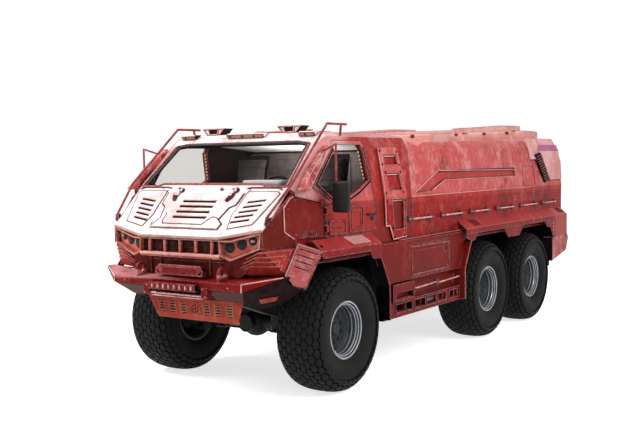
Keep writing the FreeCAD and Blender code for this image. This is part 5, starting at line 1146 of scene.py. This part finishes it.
STRIPE_HIGH = [(1573, 39), (2206, 290), (4589, 264)]
GRABS = ((1381, 1944), (2204, 2784), (3019, 3575), (3837, 4423), (4678, 5292), (5535, 6085))


def sides():
    # Pale beads along the stripe and the belt: painted highlight on the folds, with wear.
    edges = on(HIGH_SIDE, bead(STRIPE_HIGH, 6, 1), bead([(2020, 58), (2364, 172), (4588, 172)], 5, 1),
               bead([(1480, 2), (5120, 2)], 5, 0), bead([(4589, 264), (4810, 326), (4924, 544)], 4, 0))
    finished("stripe_edges", twinned(edges), PALE_ENAMEL)
    seams = joined((bead([(1975, -290), (1975, -490)], 5, 0), LOW_SIDE),
                   (bead([(1490, -4), (1500, -480)], 4, 0), LOW_SIDE),
                   (bead([(2950, 548), (2950, 300)], 3, 0), HIGH_SIDE),
                   (bead([(4200, 548), (4200, 280)], 3, 0), HIGH_SIDE))
    finished("side_seams", twinned(seams), SEAM_ENAMEL)
    bars, feet = bmesh.new(), bmesh.new()
    for a, b in GRABS:
        added(bars, round_bar([(a + 12, -252, 2), (a + 12, -252, 48), (b - 12, -252, 48),
                               (b - 12, -252, 2)], 11, 10), LOW_SIDE)
        for end in (a, b - 62):
            added(feet, rounded(block((end, end + 62), (-284, -222), (0, 30)), 7), LOW_SIDE)
            added(feet, block((end + 10, end + 52), (-268, -238), (30, 62), 5), LOW_SIDE)
    finished("grab_bars", twinned(bars), RUBBED_STEEL, smooth=50)
    finished("grab_bar_feet", twinned(feet), GRAB_FOOT)
    hatch = [(4845, 315), (5275, 318), (5315, 22), (4850, 20)]
    finished("rear_side_hatch", both(border(hatch, 14, 8, edge=3), HIGH_SIDE), BODY_ENAMEL)
    finished("rear_side_hatch_bolts", twinned(bolts(HIGH_SIDE,
                                                    [(4870, 292), (5250, 295), (5285, 45), (4875, 45)], 9,
                                                    6, 5)), SEAM_ENAMEL)
    rivets = [(y, -30) for y in range(1600, 6200, 230)] + [(y, -455) for y in range(1560, 2600, 180)]
    finished("side_rivets", twinned(bolts(LOW_SIDE, rivets, 6, 4)), SEAM_ENAMEL)
    pod_fins = bmesh.new()
    for i in range(11):
        u, v = 5322 + 33 * i, 2392 - 36 * i
        added(pod_fins, blank([(u, v), (u + 180, v + 44), (u + 188, v + 27), (u + 8, v - 17)], 40, edge=2,
                              low=-26), POD_SIDE)
    pod_dark = blank([(5300, 2420), (5490, 2452), (5880, 2034), (5655, 2000)], 24, low=-23)
    finished("pod_fins", twinned(pod_fins), SEAM_ENAMEL)
    finished("pod_fin_shade", both(pod_dark, POD_SIDE), OPENING_BLACK)
    finished("pod_bands", both(blank([(5556, 280), (6312, 280), (6300, 186), (5500, 186)], 4, edge=1),
                               POD_TOP), POD_BAND)
    rim = bead([(5470, 440), (5556, 288), (5490, 180), (5560, 0)], 6, 2)
    finished("pod_bright_edges", both(rim, POD_TOP), PALE_ENAMEL)


ladder()
sides()


# ---------------------------------------------------------------- skirts and steps
def skirts():
    locker = [(1395, 1383), (2344, 1378), (2350, 1050), (1410, 1050)]
    finished_pair("locker_frames", on(SKIRT, border(locker, 12, 7, edge=2)), PALE_SKIRT, "locker")
    plate_bits = joined((border([(2194, 1371), (2300, 1366), (2296, 1240), (2196, 1249)], 8, 6, edge=2),
                         SKIRT), (bolts(SKIRT, [(2214, 1350), (2280, 1348), (2278, 1262), (2216, 1268)], 7,
                                        5, 4), None), (disc(16, 6, 16, 1, low=0), spot(SKIRT, 2300, 1085)))
    finished_pair("locker_plates", plate_bits, PALE_SKIRT, "locker")
    finished_pair("locker_nameless_panel", on(SKIRT,
                                              blank([(1430, 1330), (2150, 1330), (2150, 1110),
                                                     (1430, 1110)], 4, edge=1.5)), SKIRT_ENAMEL, "locker")
    lines = joined((bead([(1120, 1478), (2684, 1484)], 6, 0), SKIRT),
                   (round_bar([(1301, 2820, 1347), (1301, 2642, 1008), (1301, 2642, 620)], 6, 6), WHOLE))
    finished("skirt_lines", twinned(lines), PALE_SKIRT)
    step = on(SKIRT, border([(948, 975), (1412, 968), (1406, 800), (952, 806)], 16, 8, edge=3),
              block((990, 1400), (812, 822), (-60, 4), 2), block((990, 1400), (884, 894), (-60, 4), 2))
    finished("step_box_frame", twinned(step), HATCH_ENAMEL)
    rails = on(SKIRT, *[round_bar([(a, 905, 4), (a + 14, 905, 40), (b - 14, 918, 40), (b, 918, 4)], 9, 10)
                     for a, b in ((1441, 1937), (1989, 2558))])
    finished("skirt_hand_rails", twinned(rails), RUBBED_STEEL, smooth=50)
    finished("skirt_rail_feet", both(joined((block((1930, 2000), (880, 945), (0, 46), 6), None)), SKIRT),
             GRAB_FOOT)
    windows = ((1034, 1403), (1474, 1719), (1769, 1999), (2051, 2264), (2346, 2568))
    dark_windows = windows[:2] + windows[3:]      # the middle one holds the canister
    frames = on(SKIRT, *[border([(a - 12, 652), (b + 12, 652), (b + 12, 768), (a - 12, 768)], 11, 7, edge=2)
                      for a, b in windows])
    finished("sill_window_frames", twinned(frames), HATCH_ENAMEL)
    baffles = on(SKIRT, *[block((a + (b - a) * 0.62, a + (b - a) * 0.62 + 10), (664, 756), (-70, -4), 2)
                          for a, b in dark_windows],
                 *[block((a, b), (660, 668), (-90, -4), 1) for a, b in windows])
    finished("sill_baffles", twinned(baffles), SEAM_ENAMEL)
    canister = rounded(round_bar([(1155, 1776, 714), (1155, 1990, 714)], 46, 24), 10, 2)
    finished("sill_canisters", both(canister, WHOLE), RIM_GREY, smooth=50)
    dark = on(SKIRT, *[block((a - 4, b + 4), (656, 764), (-96, -92)) for a, b in dark_windows])
    finished("sill_shade", twinned(dark), OPENING_BLACK)
    flanges = on(SKIRT, blank([(585, 1332), (769, 1009), (761, 633), (790, 633), (798, 1015), (620, 1340)],
                              8, edge=2), block((2560, 2630), (640, 940), (-70, -60)))
    finished("skirt_flange_edges", twinned(flanges), HATCH_ENAMEL)


skirts()


# ---------------------------------------------------------------- pillars, stripe, mirrors
MIRROR_LINE = (1316, -284)


def mirrors():
    """Moulded heads with rounded corners, a glass on the rear face, and tube arms."""
    head = block((1274, 1470), (-312, -256), (1866, 2178), 26, 3)
    shell = finished("mirror_housings", both(head, WHOLE), BLACK_PLASTIC, smooth=50)
    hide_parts("mirrors")
    glass_face = drawn_on((1372, -256, 2022), -X, Z)
    finished("mirror_glasses", both(rounded(block((-78, 78), (-134, 134), (-2, 3)), 2), glass_face),
             MIRROR_SILVER)
    x, y = MIRROR_LINE
    tubes = on(WHOLE, round_bar([(1060, -226, 2468), (1114, -227, 2474), (x, y, 2540), (x, y, 1900)], 11,
                                10), round_bar([(x, y, 1954), (1134, -300, 1946)], 12, 10))
    finished("mirror_arms", twinned(tubes), GUARD_ENAMEL, smooth=50)
    clamps = on(WHOLE, *[block((x - 20, x + 20), (y - 20, y + 20), (z, z + 34), 5) for z in (1938, 2100)],
                block((1150, 1172), (-330, -270), (1920, 1975), 5))
    finished("mirror_clamps", twinned(clamps), SEAM_ENAMEL)


mirrors()


def pillars():
    # Pale strips on the pillars' front faces: painted glare, with sun-bleaching.
    strips = on(SCREEN, blank([(915, 640), (972, 24), (990, 24), (933, 640)], 8, edge=2))
    finished("pillar_strips", twinned(strips), PALE_ENAMEL)
    # Dark beads beside them: painted shadow lines.
    lines = on(SCREEN, bead([(990, 20), (924, 660)], 6, 5))
    finished("pillar_beads", twinned(lines), SEAM_ENAMEL)
    strip = blank([(-700, 150), (-424, 406), (-164, 590), (-126, 590), (-240, 468), (-462, 216),
                   (-500, 150)], 60, edge=4, low=-54)
    finished("pillar_side_strips", both(strip, HIGH_SIDE), PILLAR_ENAMEL)
    ridge = on(HIGH_SIDE, bead([(-600, 214), (-420, 372), (-176, 566)], 9, 5),
               bead([(-480, 196), (-250, 446), (-152, 570)], 7, 5))
    finished("pillar_side_ridges", twinned(ridge), PALE_ENAMEL)
    floor = blank([(1592, 46), (2214, 282), (4582, 258), (4582, 176), (2354, 176), (2014, 64)], 3)
    finished("stripe_floors", both(floor, spot(HIGH_SIDE, 0, 0, -28)), STRIPE_ENAMEL)


pillars()


# ---------------------------------------------------------------- cab inside
# Moulded liner, warm dark grey-brown.
LINER = plain("cab_liner", "#8c7f7c", "#7a6e6b", 80, 0.8, spec=0.15)
# Foamed light headliner.
HEADLINER = plain("headliner", "#f6f7f6", "#eeefee", 60, 0.85, spec=0.1)
# Soft light-grey instrument hood, faintly glossy.
BINNACLE = plain("binnacle_skin", "#cfc8cf", "#bdb6bd", 25, 0.5, spec=0.3)


def cab_inside():
    lining = blank([(-1050, 0), (1050, 0), (1040, 610), (-1040, 610)], 8, edge=2)
    tail = blank([(-1050, 0), (1050, 0), (1020, 790), (-1020, 790)], 8, edge=2)
    finished("headliner_panels", joined((lining, drawn_on((0, -10, 2592), X, Vector((0, 610, -16)))),
                                        (tail, drawn_on((0, 600, 2576), X, Vector((0, 785, -76))))),
             HEADLINER)
    wall = on(WHOLE, block((-1090, 1090), (1392, 1400), (1420, 2480), 2),
              *[block((a, b), (1380, 1392), (z0, z1), 4) for a,
                b in ((-1000, -560), (-500, 420), (480, 980)) for z0, z1 in ((1560, 1960), (2000, 2400))])
    finished("cab_rear_liner", wall, LINER)
    finished("cab_floor_mat", on(WHOLE, block((-1120, 1120), (-560, 1390), (1402, 1412), 3),
                                 *[block((-1080, 1080), (y, y + 12), (1412, 1417), 2)
                                   for y in range(-100, 1350, 90)]), SEAL_RUBBER)
    hump = on(WHOLE, block((340, 830), (-560, -350), (2120, 2192), 26, 3))
    finished("instrument_binnacle", hump, BINNACLE, smooth=50)
    finished("dash_top_pad", on(WHOLE, block((-925, 925), (-560, -335), (2036, 2104), 14, 2)), BLACK_PLASTIC,
             smooth=50)
    dial_board = drawn_on((560, -349, 2150), -X, Z)
    dials = joined(*[(disc(r, 6, 24, 1.5), spot(dial_board, x, 0)) for x,
                     r in ((-150, 26), (-70, 34), (40, 34), (130, 26))])
    finished("instrument_dials", dials, LAMP_LENS)
    vents = on(WHOLE, *[block((x, x + 120), (-334, -328), (z, z + 8), 2) for x in (-800, -420, -60, 180)
                     for z in range(2000, 2040, 13)])
    finished("dash_vents", vents, OPENING_BLACK)
    handle = round_bar([(-560, -332, 1990), (-560, -300, 1990), (-260, -300, 1990), (-260, -332, 1990)], 11,
                       10)
    finished("dash_grab_handle", on(WHOLE, handle), BLACK_PLASTIC, smooth=50)
    trim = joined((blank([(-200, -330), (640, -330), (620, -20), (-200, -20)], 8, edge=3),
                   spot(LOW_SIDE, 0, 0, -78)), (block((150, 560), (-150, -90), (-118, -78), 12), LOW_SIDE))
    finished_pair("door_trims", trim, BLACK_PLASTIC, "door")
    pedals = on(WHOLE, *[block((x - 28, x + 28), (-470, -455), (1480, 1560), 5) for x in (440, 560, 680)],
                *[round_bar([(x, -462, 1550), (x, -520, 1760)], 8, 6) for x in (440, 560, 680)])
    finished("pedals", pedals, CHASSIS_BLACK)


cab_inside()


# ---------------------------------------------------------------- upholstery
# Woven seat cloth, charcoal with a lighter weft.
SEAT_CLOTH = plain("seat_cloth", "#2f2b2b", "#454040", 6, 0.9, bump=0.5, depth=0.5, spec=0.15)
SEAT_HEIGHT, SEAT_FRONT, SEAT_X = DECK + 330, 180, 560
BENCH = (1900, 5700)
BENCH_SEATS = 7


def evaluated(piece):
    """The piece's mesh with its modifiers applied."""
    scene = bpy.context.evaluated_depsgraph_get()
    return bpy.data.meshes.new_from_object(piece.evaluated_get(scene))


def stuffed(shape, voxel, reach, channels):
    """Blows a closed shape up as sewn cloth, then presses its sewn channels in. Sizes in millimetres.

    A channel is (axis, place): a line square to that axis. No point moves further than reach.
    """
    mesh = bpy.data.meshes.new("pad")
    shape.to_mesh(mesh)
    shape.free()
    mesh.transform(Matrix.Scale(MM, 4))
    pad = bpy.data.objects.new("pad", mesh)
    bpy.context.scene.collection.objects.link(pad)
    remesh = pad.modifiers.new("remesh", "REMESH")
    remesh.mode, remesh.voxel_size = "VOXEL", voxel * MM
    pad.data = evaluated(pad)
    pad.modifiers.clear()
    before = [v.co.copy() for v in pad.data.vertices]
    cloth = pad.modifiers.new("cloth", "CLOTH")
    cloth.settings.use_pressure = True
    cloth.settings.uniform_pressure_force = 4
    cloth.settings.effector_weights.gravity = 0
    for step in range(1, 21):
        bpy.context.scene.frame_set(step)
    pad.data = evaluated(pad)
    pad.modifiers.clear()
    bpy.context.scene.frame_set(1)
    for vertex, start in zip(pad.data.vertices, before):
        move = vertex.co - start
        if move.length > reach * MM:
            vertex.co = start + move.normalized() * reach * MM
    pad.modifiers.new("smooth", "SUBSURF").levels = 1
    pad.modifiers["smooth"].render_levels = 1
    pad.data = evaluated(pad)
    pad.modifiers.clear()
    for axis, place in channels:
        for vertex in pad.data.vertices:
            near = abs(vertex.co[axis] / MM - place) / 13
            if near < 1:
                vertex.co -= vertex.normal * 9 * MM * (1 - near * near)
    pad.data.transform(Matrix.Scale(1000, 4))
    bm = bmesh.new()
    bm.from_mesh(pad.data)
    bpy.data.objects.remove(pad)
    return bm


def seats():
    cushion = stuffed(block((-216, 216), (24, 446), (20, 98), 22, 2), 9, 24, [(1, 150), (1, 300)])
    back = stuffed(block((-214, 214), (28, 592), (-84, -16), 22, 2), 9, 24, [(1, 170), (1, 320), (1, 470)])
    bench = stuffed(block((-254, 254), (-174, 174), (20, 82), 18, 2), 13, 22, [(1, 0)])
    for side, x in (("left", SEAT_X), ("right", -SEAT_X)):
        place = drawn_on((x, SEAT_FRONT, SEAT_HEIGHT), X, Y)
        piece = finished("seat_cushion_" + side, placed(cushion.copy(), place), SEAT_CLOTH,
                         smooth=180)
        if side == "left":
            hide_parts("seat_cushions")
        place = drawn_on((x, SEAT_FRONT + 400, SEAT_HEIGHT + 128), X, Vector((0, 145, 615)))
        piece = finished("seat_back_" + side, placed(back.copy(), place), SEAT_CLOTH,
                         smooth=180)
        sign = 1 if side == "left" else -1
        step = (BENCH[1] - BENCH[0]) / BENCH_SEATS
        for i in range(BENCH_SEATS):
            place = drawn_on((sign * 916, BENCH[0] + step * (i + 0.5), SEAT_HEIGHT - 60), Y, -sign * X)
            if sign < 0:
                place = place @ Matrix.Rotation(math.pi, 4, "Y") @ Matrix.Translation((0, 0, -102))
            piece = finished(f"bench_pad_{side}_{i + 1}", placed(bench.copy(), place), SEAT_CLOTH,
                             smooth=180)
    belts = on(WHOLE, *[block((s * 560 - 24, s * 560 + 24), (SEAT_FRONT + 380, SEAT_FRONT + 400),
                              (SEAT_HEIGHT + 100, SEAT_HEIGHT + 150), 4) for s in (-1, 1)])
    finished("seat_belt_buckles", belts, LAMP_LENS)


seats()


# ---------------------------------------------------------------- roof and rear end
def roof():
    lid = on(WHOLE, block((-360, 360), (480, 1120), (2680, 2712), 10, 2),
             block((-320, 320), (520, 1080), (2712, 2720), 4),
             round_bar([(-80, 1090, 2712), (-80, 1090, 2744), (80, 1090, 2744), (80, 1090, 2712)], 9, 8),
             *[block((x - 45, x + 45), (452, 500), (2680, 2722), 6) for x in (-220, 220)])
    finished("cab_roof_hatch", lid, CAB_ENAMEL)
    finished("roof_hatch_bolts", bolts(drawn_on((0, 0, 2712), X, Y),
                                       [(x, y) for x in (-330, 330) for y in (520, 800, 1080)], 10, 7),
             SEAM_ENAMEL)
    lids = on(WHOLE, *[block((a, b), (y0, y1), (z, z + 8), 3)
                       for (a, b, y0, y1, z) in ((-850, -20, 2580, 3080, 2700), (20, 850, 2580, 3080, 2700),
                                                 (-830, -20, 5600, 6160, 2790),
                                                 (20, 830, 5600, 6160, 2790))])
    finished("roof_box_lids", lids, RACK_ENAMEL)
    catches = on(WHOLE, *[block((s * x - 24, s * x + 24), (y - 8, y + 8), (z - 46, z - 6), 3) for s in (-1, 1)
                       for x in (240, 620) for y, z in ((2540, 2700), (5556, 2790))])
    finished("roof_box_catches", catches, SEAM_ENAMEL)
    board = drawn_on((900, 0, 0), Y, Z)
    caps = joined((bead([(3142, 2770), (4700, 2847), (5396, 2851)], 6, 0), board),
                  (bolts(board, [(y, 2738 + (y - 3136) * 0.049 if y < 4700 else 2815)
                                 for y in range(3200, 5400, 260)], 9, 5), None))
    finished("rack_board_beads", twinned(caps), PALE_ENAMEL)
    rails = on(WHOLE, round_bar([(1010, 5200, 2560), (1010, 5200, 2600), (1010, 6000, 2600),
                                 (1010, 6000, 2560)], 10, 8))
    finished("roof_edge_rails", twinned(rails), GUARD_ENAMEL)


def rear_end():
    door_face = [(-396, DECK + 60), (396, DECK + 60), (396, DECK + 980), (-396, DECK + 980)]
    panels = on(REAR, border(rim_of(door_face, 26), 18, 8, edge=3),
                block((-300, 300), (1880, 2280), (0, 7), 4), block((-300, 300), (1520, 1820), (0, 7), 4))
    finished("rear_door_panels", panels, BODY_ENAMEL, "rear_door")
    latch = on(REAR, block((-330, -290), (1830, 1960), (0, 16), 5),
               round_bar([(-310, 1850, 10), (-310, 1850, 52), (-310, 1940, 52), (-310, 1940, 10)], 9, 8))
    finished("rear_door_latch", latch, BLACK_PLASTIC, "rear_door")
    finished("rear_door_seal", on(REAR, border([(-436, DECK + 14), (436, DECK + 14), (436, DECK + 1026),
                                                (-436, DECK + 1026)], 12, 6, edge=2)), SEAL_RUBBER)
    housings = on(REAR, block((900, 1080), (1450, 1640), (0, 14), 5),
                  block((520, 760), (1460, 1580), (0, 6), 3))
    finished("tail_lamp_housings", twinned(housings), BLACK_PLASTIC)
    finished("tail_lamp_red", twinned(joined((disc(34, 12, 24, 4), spot(REAR, 945, 1590, 14)),
                                             (disc(34, 12, 24, 4), spot(REAR, 1035, 1590, 14)))), LENS_RED)
    finished("tail_lamp_amber", twinned(joined((disc(30, 12, 24, 4), spot(REAR, 945, 1500, 14)))),
             LENS_AMBER)
    finished("tail_lamp_clear", twinned(joined((disc(30, 12, 24, 4), spot(REAR, 1035, 1500, 14)))),
             MIRROR_SILVER)
    finished("blank_number_plate", on(REAR, block((530, 750), (1470, 1570), (6, 9), 1)), GREY_TRIM)
    bars = on(REAR, *[round_bar([(x, 1500, 0), (x, 1500, 70), (x, 2300, 70), (x, 2300, 0)], 12, 10)
                      for x in (-560, 560)])
    finished("rear_grab_bars", bars, GUARD_ENAMEL, smooth=50)
    rivets = [(x, z) for x in (-1080, 1080) for z in range(1700, 2500, 130)] + [(x, DECK + 1040)
                                                                                for x in range(-400, 401,
                                                                                               100)]
    finished("rear_rivets", bolts(REAR, rivets, 8, 5), SEAM_ENAMEL)


roof()
rear_end()


# ---------------------------------------------------------------- running gear
SPRING_HALF_WIDTH = 50.0
AXLE_LINES = (0, 3480, 4990)         # front, middle and rear axle


def running_gear():
    """Spring clamps, dampers, tank straps and air vessels on the chassis."""
    spring_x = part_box("leaf_springs")[1].x / MM - SPRING_HALF_WIDTH
    clamps = bmesh.new()
    for y in AXLE_LINES:
        for dy in (-70, 70):
            legs = [(spring_x - 56, y + dy, 560), (spring_x - 56, y + dy, 872), (spring_x + 56, y + dy, 872),
                    (spring_x + 56, y + dy, 560)]
            added(clamps, round_bar(legs, 9, 8), WHOLE)
        added(clamps, block((spring_x - 70, spring_x + 70), (y - 95, y + 95), (548, 562), 4), WHOLE)
    finished("spring_u_bolts", twinned(clamps), SPRING_STEEL)
    dampers = bmesh.new()
    for y in AXLE_LINES:
        top, foot = Vector((440, y + 190, 1060)), Vector((440, y + 120, 640))
        added(dampers, round_bar([foot, foot.lerp(top, 0.55)], 26, 14), WHOLE)
        added(dampers, round_bar([foot.lerp(top, 0.5), top], 34, 14), WHOLE)
    finished("dampers", twinned(dampers), CHASSIS_BLACK, smooth=50)
    tank_low, tank_high = (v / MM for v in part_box("fuel_tanks"))
    y0, y1 = tank_low.y - AXLE_Y / MM, tank_high.y - AXLE_Y / MM
    straps = on(WHOLE, *[block((tank_high.x - 4, tank_high.x + 3),
                               (y0 + (y1 - y0) * t - 25, y0 + (y1 - y0) * t + 25),
                               (tank_low.z, tank_high.z), 2) for t in (0.2, 0.5, 0.8)])
    finished("tank_straps", twinned(straps), SPRING_STEEL)
    vessels = on(WHOLE, *[rounded(round_bar([(x, 2100, 1130), (x, 2600, 1130)], 92, 20), 14, 2)
                          for x in (-205, 205)])
    finished("air_vessels", vessels, CHASSIS_BLACK, smooth=50)


running_gear()


# ---------------------------------------------------------------- studio
def seen_rays(tree):
    """1 where the studio is looked at, mirrored or seen through a pane, 0 where it only lights."""
    ray = node(tree, "ShaderNodeLightPath").outputs
    seen = node(tree, "ShaderNodeMath", {0: ray["Is Camera Ray"], 1: ray["Is Glossy Ray"]},
                operation="MAXIMUM")
    return node(tree, "ShaderNodeMath", {0: seen.outputs[0], 1: ray["Is Transmission Ray"]},
                operation="MAXIMUM").outputs[0]


def studio():
    """Pale floor, white surroundings and four lamps.

    A large soft one stands off the nose, two weaker ones at the side and the tail, a small one in the cab.
    """
    floor = bmesh.new()
    bmesh.ops.create_grid(floor, x_segments=1, y_segments=1, size=60)
    mesh = bpy.data.meshes.new("studio_floor")
    floor.to_mesh(mesh)
    floor.free()
    ground = bpy.data.objects.new("studio_floor", mesh)
    bpy.context.scene.collection.objects.link(ground)
    made, tree, _ = new_finish("studio_floor_paint")
    seen = seen_rays(tree)
    white = node(tree, "ShaderNodeEmission", {"Color": (1, 1, 1, 1), "Strength": 0.72}).outputs[0]
    chalk = node(tree, "ShaderNodeBsdfDiffuse", {"Color": linear("#e6e6e6")}).outputs[0]
    lit = node(tree, "ShaderNodeAddShader", {0: chalk, 1: white}).outputs[0]
    shaded(tree, node(tree, "ShaderNodeMixShader", {0: seen, 1: chalk, 2: lit}).outputs[0])
    mesh.materials.append(made)

    world = bpy.data.worlds.new("studio_room")
    bpy.context.scene.world = world
    world.use_nodes = True
    tree = world.node_tree
    tree.nodes.clear()
    seen = seen_rays(tree)
    strength = ramp(tree, seen, 0.0, 1.0, 0.45, 1.0)
    glow = node(tree, "ShaderNodeBackground", {"Color": (1, 1, 1, 1), "Strength": strength}).outputs[0]
    node(tree, "ShaderNodeOutputWorld", {"Surface": glow})

    for name, place, aim, size, watts in (("nose_light", (-6.5, -7.5, 8.5), (0, -3.2, 1.8), 6.0, 1150),
                                          ("side_light", (9, -3, 7), (1, 0.5, 1.6), 6.0, 640),
                                          ("tail_light", (-2, 9, 8), (0, 2.5, 2), 6.0, 250),
                                          ("cab_light", (0, -2.0, 2.1), (0, -2.0, 3), 1.2, 14)):
        lamp = bpy.data.lights.new(name, "AREA")
        lamp.shape, lamp.size, lamp.energy = "DISK", size, watts
        hung = bpy.data.objects.new(name, lamp)
        hung.visible_camera = False
        bpy.context.scene.collection.objects.link(hung)
        hung.matrix_world = (Matrix.Translation(place)
                             @ (Vector(aim) - Vector(place)).to_track_quat("-Z", "Y").to_matrix().to_4x4())


def camera():
    """Camera off the left front corner, a little over head height; its turns are in degrees."""
    turn, down, roll = (math.radians(v) for v in (34.53457, 3.21462, -0.86813))
    ahead = Vector((-math.sin(turn) * math.cos(down), math.cos(turn) * math.cos(down), -math.sin(down)))
    right = Vector((math.cos(turn), math.sin(turn), 0))
    up = right.cross(ahead)
    right, up = (right * math.cos(roll) + up * math.sin(roll), up * math.cos(roll) - right * math.sin(roll))
    seen = bpy.data.cameras.new("road_camera")
    seen.lens, seen.sensor_width = 52.07, 36.0
    stand = bpy.data.objects.new("road_camera", seen)
    bpy.context.scene.collection.objects.link(stand)
    basis = Matrix((right, up, -ahead)).transposed().to_4x4()
    stand.matrix_world = Matrix.Translation((6.33445, -10.49815, 2.37521)) @ basis
    bpy.context.scene.camera = stand


studio()
camera()
bpy.context.scene.view_settings.view_transform = "Standard"
